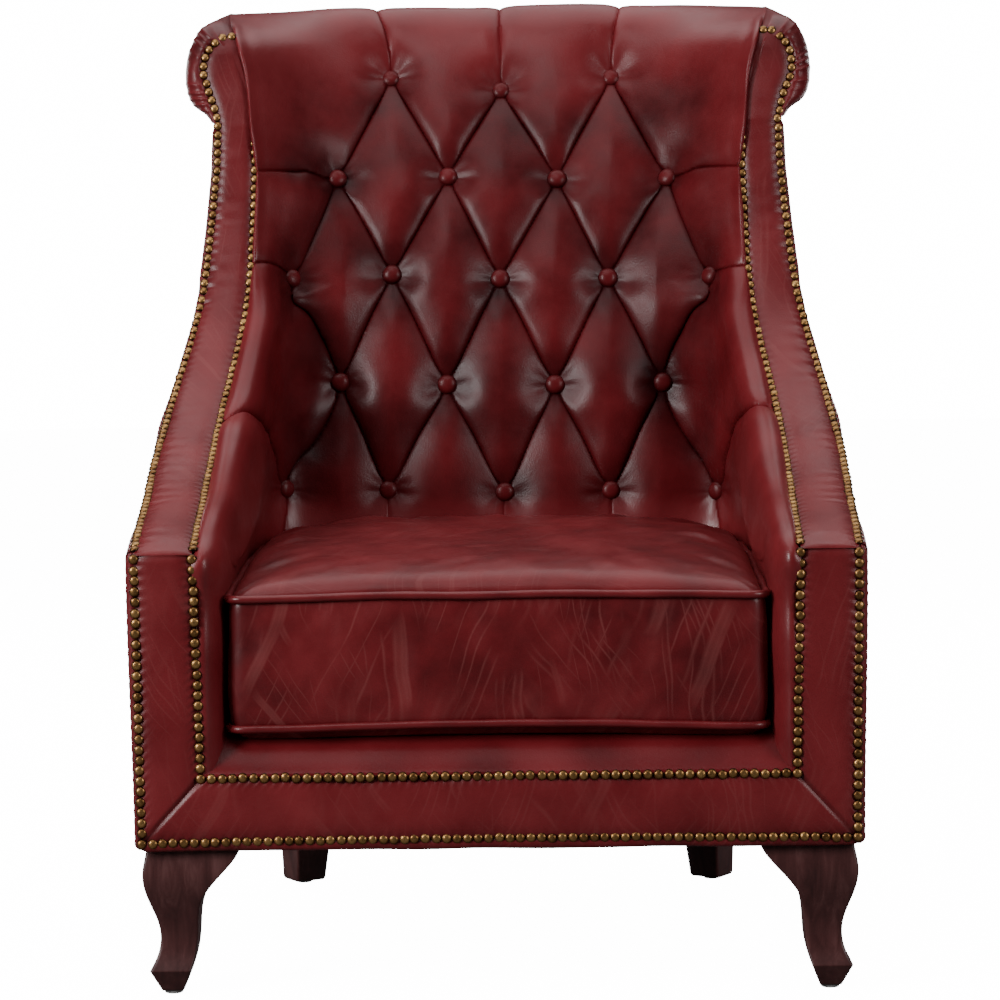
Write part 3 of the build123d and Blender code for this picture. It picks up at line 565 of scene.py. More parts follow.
def sweep_rows(C, per):
    """Dense rows through the control rows, every column with its own smooth line."""
    mean = np.mean(np.linalg.norm(np.diff(C, axis=0), axis=2), axis=1)
    t = np.concatenate([[0], np.cumsum(np.maximum(mean, 1e-4))])
    q = np.concatenate([np.linspace(t[k], t[k + 1], n, endpoint=False) for k, n in enumerate(per)] + [[t[-1]]])
    return spline(t, C.reshape(len(C), -1), q).reshape(len(q), C.shape[1], 3)


dense = sweep_rows(CTRL, ROW_N)
half = np.array([smooth(r, COL_N) for r in dense])        # rows, cols, 3, from the middle to the right edge
shell = np.concatenate([mir(half[:, :0:-1]), half], axis=1)
NR, NC = shell.shape[:2]
MID = half.shape[1] - 1
row_id = np.concatenate([[0], np.cumsum(ROW_N)]).astype(float)
col_id = np.concatenate([[0], np.cumsum(COL_N)]).astype(float)


def shell_at(r, c):
    """Point of the crown surface at fractional row and column."""
    r, c = np.clip(r, 0, NR - 1.001), np.clip(c, 0, NC - 1.001)
    i, j = np.floor(r).astype(int), np.floor(c).astype(int)
    a, b = (r - i)[..., None], (c - j)[..., None]
    return (shell[i, j] * (1 - a) * (1 - b) + shell[i + 1, j] * a * (1 - b) + shell[i, j + 1] * (1 - a) * b + shell[i + 1, j + 1] * a * b)


def rc(cr, cc):
    """Grid row and column of a place given in control rows and control columns (minus = left)."""
    cr, cc = np.asarray(cr, float), np.asarray(cc, float)
    return np.interp(cr, np.arange(len(row_id)), row_id), MID + np.sign(cc) * np.interp(np.abs(cc), np.arange(len(col_id)), col_id)


# ------------------------------------------------ tufting: buttons and folds
BUTTONS = [  # given one by one, so no two sides are quite alike; (control row, control column)
    [(8.082, -3.688), (8.056, -1.484), (7.975, 0.038), (7.993, 1.406), (7.877, 3.643)],
    [(10.004, -2.409), (9.960, -0.656), (9.939, 0.658), (9.944, 2.416)],
    [(11.891, -5.455), (12.039, -1.501), (11.927, 0.001), (11.923, 1.504), (11.835, 5.614)],
    [(13.953, -3.109), (13.972, -0.633), (13.904, 0.717), (13.884, 3.437)],
    [(16.127, -1.539), (15.804, 0.027), (16.069, 1.627)]]
BENT = {  # folds that bow on their way from the upper to the lower button
    (2, 0, 1, 0): [(11.58, -5.38), (11.20, -4.15), (10.82, -3.32), (10.42, -2.77)],
    (2, 4, 1, 3): [(11.53, 5.45), (11.16, 4.17), (10.78, 3.33), (10.40, 2.75)],
    (1, 0, 0, 0): [(9.76, -2.44), (9.26, -2.59), (8.79, -2.87), (8.38, -3.57)],
    (1, 3, 0, 4): [(9.72, 2.44), (9.22, 2.58), (8.72, 2.87), (8.22, 3.45)]}
SIDE = [  # pleats from the outer buttons over the padded edge
    (0, 0, [(8.26, -4.12), (8.58, -4.45), (8.82, -5.00), (8.79, -5.80), (8.69, -6.61), (8.50, -8.00), (8.36, -9.33), (8.26, -10.46), (8.20, -11.9)]),
    (0, 4, [(8.14, 4.10), (8.48, 4.45), (8.72, 4.95), (8.76, 5.60), (8.68, 6.40), (8.50, 7.77), (8.39, 9.11), (8.36, 10.64), (8.36, 11.9)]),
    (2, 0, [(11.98, -6.00), (12.04, -7.05), (12.06, -8.10), (12.04, -9.20), (11.95, -11.9)]),
    (2, 4, [(11.88, 6.20), (11.88, 7.10), (11.85, 8.10), (11.79, 9.50), (11.77, 11.9)]),
    (3, 0, [(13.94, -3.63), (13.98, -4.25), (14.02, -6.10), (14.03, -8.43), (14.01, -11.9)]),
    (3, 3, [(13.89, 3.90), (13.92, 4.66), (14.00, 6.15), (14.01, 8.10), (14.00, 11.9)])]
UPRIGHT = [  # straight pleats over the crest and down behind the cushion
    (4, 0, [(16.9, -1.58), (18.2, -1.72), (20.2, -1.86), (21.6, -1.90), (23.6, -1.90)]),
    (4, 1, [(16.9, .02), (18.2, .01), (20.2, 0.02), (21.6, .02), (23.6, .02)]),
    (4, 2, [(16.9, 1.66), (18.2, 1.76), (20.2, 1.84), (21.6, 1.88), (23.6, 1.88)]),
    (0, 0, [(7.3, -3.78), (6.2, -3.88), (4.5, -3.92), (2.0, -3.92)]), (0, 1, [(7.3, -1.48), (6.2, -1.48), (4.5, -1.48), (2.0, -1.48)]),
    (0, 2, [(7.3, .02), (6.2, .01), (4.5, .01), (2.0, .01)]), (0, 3, [(7.3, 1.41), (6.2, 1.42), (4.5, 1.42), (2.0, 1.42)]),
    (0, 4, [(7.2, 3.72), (6.2, 3.84), (4.5, 3.90), (2.0, 3.92)])]
PROUD = 0.0240
N_FOLD = 240
half_x = half[..., 0]


def col_of_x(r, x):
    """Column where the row r of the crown surface crosses x."""
    i = int(min(max(math.floor(r), 0), NR - 2))
    f = r - i
    last = int(col_id[7])
    xs = half_x[i, :last] * (1 - f) + half_x[i + 1, :last] * f
    return MID + math.copysign(np.interp(abs(x), xs, np.arange(last)), x)


btn_rc = [[np.array(rc(*b)) for b in row] for row in BUTTONS]
btn_pos = [[shell_at(p[0], p[1]) for p in row] for row in btn_rc]
creases = []      # kind, rows, cols, end points


def through(points):
    """Smooth line in the grid through the given (row, col) pairs."""
    P = np.array(points, float)
    t = chord(P)
    q = np.linspace(0, t[-1], N_FOLD)
    return np.stack([np.interp(q, t, P[:, k]) for k in range(2)], axis=1) if len(P) < 3 else spline(t, P, q)


for lo in range(4):
    hi = lo + 1
    for ia, pa in enumerate(btn_pos[lo]):
        for ib, pb in enumerate(btn_pos[hi]):
            if abs(pa[0] - pb[0]) > 0.098:
                continue
            A, B = btn_rc[lo][ia], btn_rc[hi][ib]
            bent = BENT.get((hi, ib, lo, ia))
            if bent:
                L = through([B] + [np.array(rc(*p)) for p in bent] + [A])
            else:
                t = np.linspace(0, 1, N_FOLD)
                r = B[0] + (A[0] - B[0]) * t
                x = pb[0] + (pa[0] - pb[0]) * t
                L = np.stack([r, [col_of_x(rk, xk) for rk, xk in zip(r, x)]], axis=1)
            creases.append((1, L[:, 0], L[:, 1], [pa, pb]))
for row, k, pts in SIDE:
    L = through([btn_rc[row][k]] + [np.array(rc(*p)) for p in pts])
    creases.append((3, L[:, 0], L[:, 1], [btn_pos[row][k]]))
for row, k, pts in UPRIGHT:
    L = through([btn_rc[row][k]] + [np.array(rc(*p)) for p in pts])
    creases.append((2 if row else 4, L[:, 0], L[:, 1], [btn_pos[row][k]]))

# one grid vertex per row (or column) is moved on to each fold, so that the folds come out as clean lines
RR, CC = np.meshgrid(np.arange(NR, dtype=float), np.arange(NC, dtype=float), indexing="ij")
mark = np.full((NR, NC), -1)
for n, (kind, r, c, ends) in enumerate(creases):
    for k in range(len(r) - 1):
        dr, dc = r[k + 1] - r[k], c[k + 1] - c[k]
        if abs(dr) >= abs(dc):
            lo, hi = sorted((r[k], r[k + 1]))
            for i in range(math.ceil(lo), math.floor(hi) + 1):
                cs = c[k] + dc * (i - r[k]) / (dr if dr else 1e-9)
                j = int(round(cs))
                if 2 <= j < NC - 2 and 1 <= i < NR - 1 and mark[i, j] < 0:
                    mark[i, j], CC[i, j] = n, cs
        else:
            lo, hi = sorted((c[k], c[k + 1]))
            for j in range(math.ceil(lo), math.floor(hi) + 1):
                rs = r[k] + dr * (j - c[k]) / dc
                i = int(round(rs))
                if 2 <= j < NC - 2 and 1 <= i < NR - 1 and mark[i, j] < 0:
                    mark[i, j], RR[i, j] = n, rs
crown = shell_at(RR, CC)
Ng = grid_normals(shell)
if Ng[NR // 2, MID, 1] > 0:
    Ng = -Ng
flat, N = crown.reshape(-1, 3), Ng.reshape(-1, 3)
vr, vc = RR.reshape(-1), CC.reshape(-1)
vr_ctrl = np.interp(vr, row_id, np.arange(len(row_id)))
on_fold = mark.reshape(-1) >= 0
total = np.zeros(len(flat))
shift = np.zeros_like(flat)
dmin = np.full(len(flat), 1.0)
P3 = 2.2      # how softly neighbouring folds blend
ROW_STEP = .0022
for n, (kind, r, c, ends) in enumerate(creases):
    S = shell_at(r, c)
    along = np.min([np.linalg.norm(S - e, axis=1) for e in ends], axis=0)
    frac = np.linspace(0, 1, len(S))
    if kind == 1:
        mid_d, fade, near_w = 0.0160, np.ones(len(S)), 0.034
    elif kind == 3:
        mid_d, fade, near_w = (0.0085 if r[0] < row_id[9] else 0.0060), 1 - 0.30 * sstep(.30, 1.0, frac), 0.026
    elif kind == 2:
        mid_d, fade, near_w = 0.0062, 1 - 0.35 * sstep(.15, .60, frac) - 0.65 * sstep(.66, 1.0, frac), 0.026
    else:
        mid_d, fade, near_w = 0.0050, 1 - sstep(.30, 1.0, frac), 0.022
    depth = mid_d * fade * (1 + .12 * np.exp(-(along / near_w) ** 2))
    lo, hi = S.min(axis=0) - .068, S.max(axis=0) + .068
    idx = np.nonzero(np.all((flat > lo) & (flat < hi), axis=1))[0]
    d2 = ((flat[idx, None, :] - S[None, ::2, :]) ** 2).sum(-1)
    kk = d2.argmin(axis=1) * 2
    d = np.sqrt(d2.min(axis=1))
    d = np.where(on_fold[idx] & (mark.reshape(-1)[idx] == n), 0.0, d)
    D = depth[kk]
    # 1 on the side that laps over (the upper panel, or the outer one of an upright pleat), 0 on the other
    if kind in (1, 3):
        lean = (vr[idx] - r[kk]) * ROW_STEP / np.maximum(d, 1e-4)
    else:
        lean = (vc[idx] - c[kk]) * .0023 / np.maximum(d, 1e-4) * (np.sign(c[0] - MID) if abs(c[0] - MID) > 8 else 1)
    over = sstep(-.30, .30, lean)
    big = {1: (.052, .064), 3: (.026, .034), 2: (.024, .024), 4: (.022, .022)}[kind]
    up = .30 * np.clip(1 - d / .0110, 0, 1) ** 2 + .70 * np.clip(1 - d / big[0], 0, 1) ** 2.3
    dn = .08 * np.clip(1 - d / .0070, 0, 1) ** 2 + .92 * np.clip(1 - d / big[1], 0, 1) ** 2.05
    sk = D * (dn + (up - dn) * over)
    total[idx] += sk ** P3
    lap = 0.0030 * np.minimum(D / .012, 1.2) * (d / .003) * np.exp(1 - d / .003) * over
    shift[idx] += unit(S[kk] - flat[idx]) * lap[:, None]
    dmin[idx] = np.minimum(dmin[idx], d)
btn_crown = np.array([p for row in btn_pos for p in row])
dd = np.linalg.norm(flat[:, None, :] - btn_crown[None], axis=2)
bi, dbut = dd.argmin(axis=1), dd.min(axis=1)
dimple = PROUD * np.exp(-(dbut / .0270) ** 1.5)
total = (total + dimple ** P3) ** (1 / P3) / (1 + 0.50 * np.exp(-(dbut / .022) ** 2))     # four folds meet at a button
sink = np.where(total > 1e-6, (np.maximum(total, 1e-6) ** -5.0 + PROUD ** -5.0) ** (-1 / 5.0), 0)
sink = sink + np.where(on_fold & (dbut > .012), .0005, 0)
rel = flat - btn_crown[bi]
ang = np.arctan2(rel[:, 2], rel[:, 0])
gather = 0.0002 * np.exp(-((dbut - 0.021) / 0.012) ** 2) * np.sin(ang * 9 + bi * 1.7)
uneven = 0.0020 * wobble(flat, 5.0, 11) * np.clip(1 - sink / PROUD, 0, 1)
keep = np.ones((NR, NC))
keep[:, :7] = np.linspace(0, 1, 7)[None, :]
keep[:, -7:] = np.linspace(1, 0, 7)[None, :]
keep = keep.reshape(-1)
calm = np.clip((dbut - .010) / .010, 0, 1)
final = flat + shift * (keep * calm)[:, None] - N * ((sink - gather - uneven) * keep)[:, None]
# painted shade: the leather is darkened where it sinks into the dimples and folds; the wobble term is random tone
wear_and_shade = 0.63 - 0.32 * np.clip(sink / PROUD, 0, 1.1) ** 1.15 + 0.10 * wobble(flat, 9.0, 5)
# painted shade in the hollow of the back and painted light on the crest and the arm rolls; a thin painted dark line
# along each fold
hollow = sstep(7.0, 8.2, vr_ctrl) * sstep(17.0, 15.2, vr_ctrl) * sstep(.300, .245, np.abs(flat[:, 0]))
wear_and_shade = np.clip(wear_and_shade + 0.13 - 0.35 * hollow - 0.20 * np.exp(-(dmin / .0020) ** 2), 0.02, 1)
# faces: quads, halved along the fold where it runs corner to corner
q4, t3 = [], []
idn = np.arange(NR * NC).reshape(NR, NC)
m00, m01, m11, m10 = mark[:-1, :-1], mark[:-1, 1:], mark[1:, 1:], mark[1:, :-1]
down = (m00 >= 0) & (m00 == m11) & (m01 != m00) & (m10 != m00)
rise = (m10 >= 0) & (m10 == m01) & (m00 != m10) & (m11 != m10) & ~down
a, b, c_, d_ = idn[:-1, :-1], idn[:-1, 1:], idn[1:, 1:], idn[1:, :-1]
rest = ~(down | rise)
faces = [tuple(f) for f in np.stack([d_[rest], c_[rest], b[rest], a[rest]], axis=1)]
faces += [tuple(f) for f in np.stack([c_[down], b[down], a[down]], axis=1)] + [tuple(f) for f in np.stack([d_[down], c_[down], a[down]], axis=1)]
faces += [tuple(f) for f in np.stack([d_[rise], b[rise], a[rise]], axis=1)] + [tuple(f) for f in np.stack([d_[rise], c_[rise], b[rise]], axis=1)]
ob = make_object("inside_back_and_arms", final, faces, M_TUFT)
paint(ob, wear_and_shade)
# the rolls and crest shine more than the hollow; along the folds the reflections are taken away as painted shade
paint(ob, np.maximum(1 - hollow - 2.4 * np.exp(-(dmin / .0026) ** 2), -1.3), "gloss_and_fold_shade")
place(ob, ROOT, "leather", "inside_back_pad", "crest_roll", "left_inside_arm", "right_inside_arm", fill=0.85)
SHELL_FINAL = final.reshape(NR, NC, 3)

# ----------------------------------------------------------- tuft buttons
bv, bf, bw = [], [], []
prof = [(0.0, .0082), (.0038, .0080), (.0074, .0071), (.0101, .0053), (.0117, .0029), (.0122, .0006), (.0119, -.0018), (.0108, -.0044)]
for i, p in enumerate(btn_crown):
    k = int(np.argmin(np.linalg.norm(flat - p, axis=1)))
    n = N[k]
    base = p - n * (PROUD - 0.0038)
    n = unit(n + rng.normal(size=3) * 0.05)
    q = Vector((0, 0, 1)).rotation_difference(Vector(n))
    s0 = len(bv)
    sides = 32
    bv.append(base + n * prof[0][1])
    bw.append(0.47)
    for r, h in prof[1:]:
        for a in range(sides):
            th = 2 * math.pi * a / sides
            rr = r * (1 + 0.012 * math.sin(3 * th + i))
            v = q @ Vector((rr * math.cos(th), rr * math.sin(th), h))
            bv.append(base + np.array(v))
            bw.append(0.47 - 0.34 * (r / .0122) ** 4)
    for a in range(sides):
        bf.append((s0, s0 + 1 + a, s0 + 1 + (a + 1) % sides))
    for k2 in range(len(prof) - 2):
        for a in range(sides):
            o = s0 + 1 + k2 * sides
            bf.append((o + a, o + sides + a, o + sides + (a + 1) % sides, o + (a + 1) % sides))
ob = make_object("tuft_buttons_leather", bv, bf, M_TUFT)
paint(ob, bw)
place(ob, ROOT, "leather", "tuft_buttons")

# ---------------------------------------- padded side bands and ear faces
CROWN = 0.0062


def side_band(sign):
    s_list = np.concatenate([np.linspace(0.004, band_t[-1], 330)])
    rows_o, rows_i, rows_n = [], [], []
    B = band_at(s_list)
    rows_o = np.stack([B[:, 2], B[:, 0], B[:, 1]], axis=1)
    rows_i = np.stack([B[:, 3], B[:, 0], B[:, 1]], axis=1)
    rows_n = np.stack([0 * B[:, 0], B[:, 4], B[:, 5]], axis=1)
    eo = even(EAR[:10], n=46)[1:]
    ei = even(EAR[:8:-1], n=46)[1:]
    ne = np.tile(np.array([0, -.971, .2405]), (45, 1))
    O, I, Nn = np.concatenate([rows_o, eo]), np.concatenate([rows_i, ei]), np.concatenate([rows_n, ne])
    # a short turn down over the front seam
    lead_o, lead_i, lead_n = [], [], []
    for a in np.linspace(0, 1, 7)[:-1]:
        th = (1 - a) * math.radians(78)
        off = np.array([0, 0.0045 - 0.0045 * math.sin(th) - 0.004, -0.0045 + 0.0045 * math.cos(th)])
        lead_o.append(rows_o[0] + off); lead_i.append(rows_i[0] + off)
        lead_n.append((0, -math.sin(th), math.cos(th)))
    O, I, Nn = np.concatenate([lead_o, O]), np.concatenate([lead_i, I]), np.concatenate([lead_n, Nn])
    q = np.concatenate([np.linspace(0, .12, 7), np.linspace(.12, .88, 20)[1:-1], np.linspace(.88, 1, 7)])
    P = I[:, None, :] * (1 - q)[None, :, None] + O[:, None, :] * q[None, :, None]
    width = np.linalg.norm(O - I, axis=1)
    prof = 1 - np.abs(2 * q - 1) ** 3.2
    top = np.clip(width / 0.05, 0, 1)
    arc = chord(0.5 * (O + I))
    lead = sstep(0, 0.030, arc)
    hgt = CROWN * prof[None, :] * top[:, None] * (0.45 + 0.55 * lead[:, None]) - 0.0012
    # the leather is drawn down between the nails: small puckers along both rows
    edge_o = np.exp(-((1 - q) * width[:, None] / 0.010) ** 2)
    edge_i = np.exp(-(q * width[:, None] / 0.008) ** 2)
    ph = 2 * math.pi * arc / PITCH
    slow = 0.5 + 0.5 * wobble(P, 8.0, 21 + (sign > 0))
    fade = (0.30 + 0.70 * sstep(.95, .55, arc))[:, None]          # flatter on the upright part
    hgt = hgt + fade * (0.0008 * edge_o * np.cos(ph)[:, None] * (0.4 + 1.2 * slow) + 0.0005 * edge_i * np.cos(ph)[:, None])
    far_o = np.exp(-((1 - q) * width[:, None] / 0.024) ** 2)
    hgt = hgt + 0.0007 * fade * far_o * np.cos(ph[:, None] * 0.5 + 3 * slow) * sstep(.40, .60, slow) + 0.0010 * wobble(P, 6.0, 33)
    P = P + Nn[:, None, :] * hgt[..., None]
    # painted shade on the upper band and ear face and along both nail rows; lighter along the crown; random tone from
    # the wobble
    wv = np.clip(0.60 + 0.18 * prof[None, :] - 0.18 * (edge_o + edge_i) - 0.14 * sstep(.66, .96, P[..., 2]) + 0.10 * wobble(P, 10.0, 44), 0, 1)
    if sign < 0:
        P = mir(P)
    return P, wv


for sign, side in ((1, "right"), (-1, "left")):
    P, wv = side_band(sign)
    ob = grids(side + "_band_leather", [(P, sign < 0, False)], M_BAND)
    paint(ob, wv)
    place(ob, ROOT, "leather", side + "_side_band", side + "_ear_face", fill=0.8)

# ------------------------------------------------------ front border strips
def strip_height(q, crown=0.0052):
    return crown * (1 - np.abs(2 * q - 1) ** 3.2) - 0.0015


def front_strip(a0, b0, a1, b1, n, m, seed, ca=1.0):
    """Crowned strip between the lines a0-a1 and b0-b1 in the front plane (x, z pairs)."""
    t = np.linspace(0, 1, n)
    q = np.linspace(0, 1, m)
    A = np.array(a0)[None] + (np.array(a1) - np.array(a0))[None] * t[:, None]
    B = np.array(b0)[None] + (np.array(b1) - np.array(b0))[None] * t[:, None]
    XZ = A[:, None] * (1 - q)[None, :, None] + B[:, None] * q[None, :, None]
    P = np.stack([XZ[..., 0], 0 * XZ[..., 0], XZ[..., 1]], axis=-1)
    w = np.linalg.norm(B - A, axis=1)[:, None]
    L = np.linalg.norm(np.array(a1) - np.array(a0))
    h = strip_height(q)[None, :] + 0 * w
    ea, eb = np.exp(-(q * w / .009) ** 2), np.exp(-((1 - q) * w / .009) ** 2)
    ph = 2 * math.pi * t[:, None] * L / PITCH
    h = h + 0.0006 * (ea + eb) * np.cos(ph) + 0.0011 * wobble(P, 7.0, seed)
    P[..., 1] = -h
    # painted shade along both nail rows; lighter along the crown; random tone from the wobble
    wv = np.clip(0.62 + 0.16 * (1 - np.abs(2 * q - 1) ** 2)[None, :] - 0.16 * (ea + eb) + 0.10 * wobble(P, 9.0, seed + 1), 0, 1)
    return P, wv


def seam_dip(P, wv, axis_ends, depth=0.0022, reach=0.004):
    """Sinks the first and last rows so that two strips meet in a sewn valley, and darkens the valley as painted shade.
    """
    n = P.shape[0]
    for k, on in zip((0, n - 1), axis_ends):
        if on:
            d = np.linalg.norm(P - P[k:k + 1], axis=-1)
            f = np.exp(-(d / reach) ** 2)
            P[..., 1] += depth * f
            # painted shade in the seam valley
            wv -= 0.25 * f
    return P, wv


OUT_X0, OUT_X1, IN_X0, IN_X1 = .3760, .3790, .3130, .3180
OUT_Z, IN_Z, TOP_Z = .1660, .2345, .4705
n_b = 360
P, wv = front_strip((-OUT_X0, OUT_Z), (-IN_X0, IN_Z), (OUT_X0, OUT_Z), (IN_X0, IN_Z), n_b, 26, 61)
# the two ends sink into sewn valleys where the border meets the arm facings
P, wv = seam_dip(P, wv, (True, True))
ob = grids("front_border_leather", [(P, True, False)], M_BAND)
paint(ob, wv)
place(ob, ROOT, "leather", "front_border", fill=0.8)
# the border's leather turns under the front rail
xs = np.linspace(-.3792, .3792, 300)
prof = even(np.array([(.0024, .1690), (-.0004, .1668), (-.0012, .1640), (-.0008, .1606), (.0008, .1582), (.0040, .1572), (.012, .1570), (.035, .1572)]), n=34)
P = np.zeros((len(xs), len(prof), 3))
P[..., 0] = xs[:, None]
P[..., 1] = prof[None, :, 0] + .0030 * sstep(.372, .3792, np.abs(xs))[:, None]
P[..., 2] = prof[None, :, 1] + (.0022 * sstep(.368, .3792, np.abs(xs)) ** 2)[:, None]
P[..., 1] += 0.0005 * wobble(P, 14.0, 64) - 0.0003 * np.cos(2 * math.pi * xs / PITCH)[:, None]
P[..., 2] += 0.0006 * wobble(P, 8.0, 65)
ob = grids("front_border_hem", [(P, False, False)], M_BAND)
paint(ob, np.clip(0.50 + 0.14 * wobble(P, 9.0, 66), 0, 1))
place(ob, ROOT, "leather", fill=0.9)
for sign, side in ((1, "right"), (-1, "left")):
    P, wv = front_strip((OUT_X0, OUT_Z), (IN_X0, IN_Z), (OUT_X1, TOP_Z), (IN_X1, TOP_Z), 170, 26, 71 + sign)
    P, wv = seam_dip(P, wv, (True, True))
    if sign < 0:
        P = mir(P)
    ob = grids(side + "_arm_facing_leather", [(P, sign < 0, False)], M_BAND)
    paint(ob, wv)
    place(ob, ROOT, "leather", side + "_arm_facing", fill=0.8)

# ------------------------------------------- front lip and seat deck
xs = np.linspace(-.3185, .3185, 220)
prof = even(np.array([(.003, .2335), (-.0015, .2365), (.004, .243), (.018, .2575), (.036, .2725), (.050, .2775), (.075, .2770), (.110, .2755)]), n=40)
P = np.zeros((len(xs), len(prof), 3))
P[..., 0] = xs[:, None]
P[..., 1] = prof[None, :, 0]
P[..., 2] = prof[None, :, 1]
P[..., 2] += 0.0012 * wobble(P, 6.0, 81) * sstep(.0, .02, P[..., 1])
ob = grids("front_lip_leather", [(P, False, False)], M_TUFT)
paint(ob, np.clip(0.56 + 0.14 * wobble(P, 9.0, 82), 0, 1))
place(ob, ROOT, "leather", "front_lip", fill=0.7)
xs, ys = np.linspace(-.2895, .2895, 80), np.linspace(.108, .524, 70)
P = np.zeros((80, 70, 3))
P[..., 0], P[..., 1] = xs[:, None], ys[None, :]
cx, cy = 1 - np.abs(xs / .2895) ** 6, 1 - np.abs((ys - .316) / .208) ** 8
P[..., 2] = .2715 + .0045 * cx[:, None] * cy[None, :] + 0.0008 * wobble(P, 9.0, 83)
ob = grids("seat_deck_cloth", [(P, False, False)], M_DECK)
place(ob, ROOT, "leather", "seat_deck", fill=0.6)

# --------------------------------------------------------- outside of arms
def plan_x(y):
    return spline(PLAN[:, 0], PLAN[:, 1:2], np.atleast_1d(y))[:, 0]


def rear_y(z):
    return spline(REAR[:, 1], REAR[:, 0:1], np.clip(np.atleast_1d(z), .14, .985))[:, 0] + 0.004


BOT_Z = .1600


def outside_arm(sign):
    y1 = np.concatenate([[0.0015, 0.003], np.linspace(.006, .553, 150)])
    q2 = np.linspace(0, 1, 40)[1:]
    down = np.concatenate([np.linspace(0, 1, 90)])
    cols = []
    for y in y1:
        b = band_at(np.interp(y, BAND[:, 0], band_t))[0]
        zt, xo = b[1], b[2]
        cols.append((y, None, zt, xo))
    for q in q2:
        cols.append((None, q, .945 + .020 * q, None))
    out = []
    for y, q, zt, xo in cols:
        zz = zt - 0.012 - (zt - 0.012 - (BOT_Z + .004)) * down
        if y is not None:
            yy = np.full_like(zz, y)
        else:
            yy = .553 + q * (rear_y(zz) - .553)
        xx = plan_x(yy) - 0.004 * sstep(.45, .16, zz) * sstep(.5, 0.0, yy)
        side = np.stack([xx, yy, zz], axis=1)
        if y is not None:
            top = np.array([(xo - .0005, y, zt - .0025), (xo + .0030, y, zt + .0004), (xo + .0064, y, zt - .0004), ((xo + xx[0]) / 2 + .0035, y, zt - .0035), (xx[0] - .0003, y, zt - .0075)])
        else:
            top = np.array([(xx[0] - .012, yy[0], zt + .004), (xx[0] - .008, yy[0], zt + .002), (xx[0] - .005, yy[0], zt - .001), (xx[0] - .002, yy[0], zt - .005), (xx[0] - .0005, yy[0], zt - .009)])
        end = side[-1]
        bottom = np.array([(end[0] - .0012, end[1], BOT_Z + .0010), (end[0] - .0045, end[1], BOT_Z - .0003), (end[0] - .014, end[1], BOT_Z - .0004), (end[0] - .030, end[1], BOT_Z)])
        out.append(np.concatenate([top, side, bottom]))
    P = np.array(out)
    # the front edge turns round the corner to the nail line on the facing
    lead = []
    for a in np.linspace(0, 1, 8)[:-1]:
        th = (1 - a) * math.pi / 2
        c = P[0].copy()
        r = np.minimum(.009, np.maximum(c[:, 0] - .3795, .0005))
        c[:, 1] = .009 - .0082 * math.sin(th) - .0008
        c[:, 0] = c[:, 0] - r * (1 - math.cos(th))
        if a == 0:
            c[:, 0] -= .002
            c[:, 1] = .002
        lead.append(c)
    P[0, :, 1] = P[1, :, 1] = .0085
    P[1, :, 1] = .010
    P = np.concatenate([np.array(lead), P])
    # slack of the panel and small puckers under the nails
    yy, zz = P[..., 1], P[..., 2]
    inner = sstep(.02, .08, yy) * sstep(.165, .22, zz)
    P[..., 0] += inner * (0.0022 * wobble(P, 3.0, 91) + 0.0008 * wobble(P, 9.0, 92)) - 0.001 * inner
    btop = np.interp(yy, BAND[:, 0], BAND[:, 1])
    near_top = np.exp(-((btop - zz - .006) / .014) ** 2) * (yy < .55)
    s_here = np.interp(yy, BAND[:, 0], band_t)
    P[..., 0] += 0.0005 * near_top * np.cos(2 * math.pi * s_here / PITCH)
    near_front = np.exp(-(yy / .010) ** 2) * (zz < .47)
    P[..., 0] += 0.0005 * near_front * np.cos(2 * math.pi * zz / PITCH)
    wv = np.clip(0.52 + 0.12 * wobble(P, 6.0, 93) + 0.20 * near_front + 0.12 * near_top - 0.10 * sstep(.22, .16, zz), 0, 1)
    if sign < 0:
        P = mir(P)
    return P, wv


for sign, side in ((1, "right"), (-1, "left")):
    P, wv = outside_arm(sign)
    ob = grids(side + "_outside_arm_leather", [(P, sign < 0, False)], M_OUT)
    paint(ob, wv)
    place(ob, ROOT, "leather", side + "_outside_arm", fill=0.9)

# ------------------------------------------------------------ outside back
zz = np.concatenate([[BOT_Z - .0005, BOT_Z - .0005, BOT_Z + .001], np.linspace(BOT_Z + .005, .972, 100)])
P = np.zeros((len(zz), 121, 3))
for i, z in enumerate(zz):
    y = rear_y(max(z, BOT_Z))[0]
    w = plan_x(y)[0]
    t = np.linspace(-1, 1, 121)
    P[i, :, 0] = t * (w - .0005)
    edge = np.clip((1 - np.abs(t)) * w / .020, 0, 1)
    P[i, :, 1] = y + .0055 * np.sqrt(1 - (1 - edge) ** 2) - .001
    P[i, :, 2] = z
P[0, :, 1] -= .030
P[1, :, 1] -= .006
P[2, :, 1] -= .0015
inner = sstep(0, .06, P[..., 2] - BOT_Z) * (1 - np.abs(P[..., 0] / .34) ** 4)
P[..., 1] += inner * (0.0020 * wobble(P, 3.0, 95) + 0.0006 * wobble(P, 10.0, 96))
ob = grids("outside_back_leather", [(P, True, False)], M_OUT)
paint(ob, np.clip(0.50 + 0.12 * wobble(P, 6.0, 97), 0, 1))
place(ob, ROOT, "leather", "outside_back", fill=0.9)
# welts down the two rear corners
for sign, side in ((1, "right"), (-1, "left")):
    z = np.linspace(BOT_Z + .002, .962, 120)
    y = rear_y(z)
    x = plan_x(y)
    pts = np.stack([sign * (x + .0005), y + .0005, z], axis=1)
    ob = grids(side + "_rear_welt", [(tube(pts, .0040, 10, closed=False), False, True)], M_WELT)
    paint(ob, np.full(120 * 10, .62))
    place(ob, ROOT, "leather")

# --------------------------------------------------------------- the ears
EAR_OUT = np.array([(349.5, 951.0), (358.0, 961.5), (369.5, 969.5), (377.5, 982.0), (381.8, 1000.0), (381.8, 1020.0), (376.0, 1045.0),
                    (363.5, 1068.0), (347.0, 1084.5), (333.0, 1091.0)]) / 1000.0


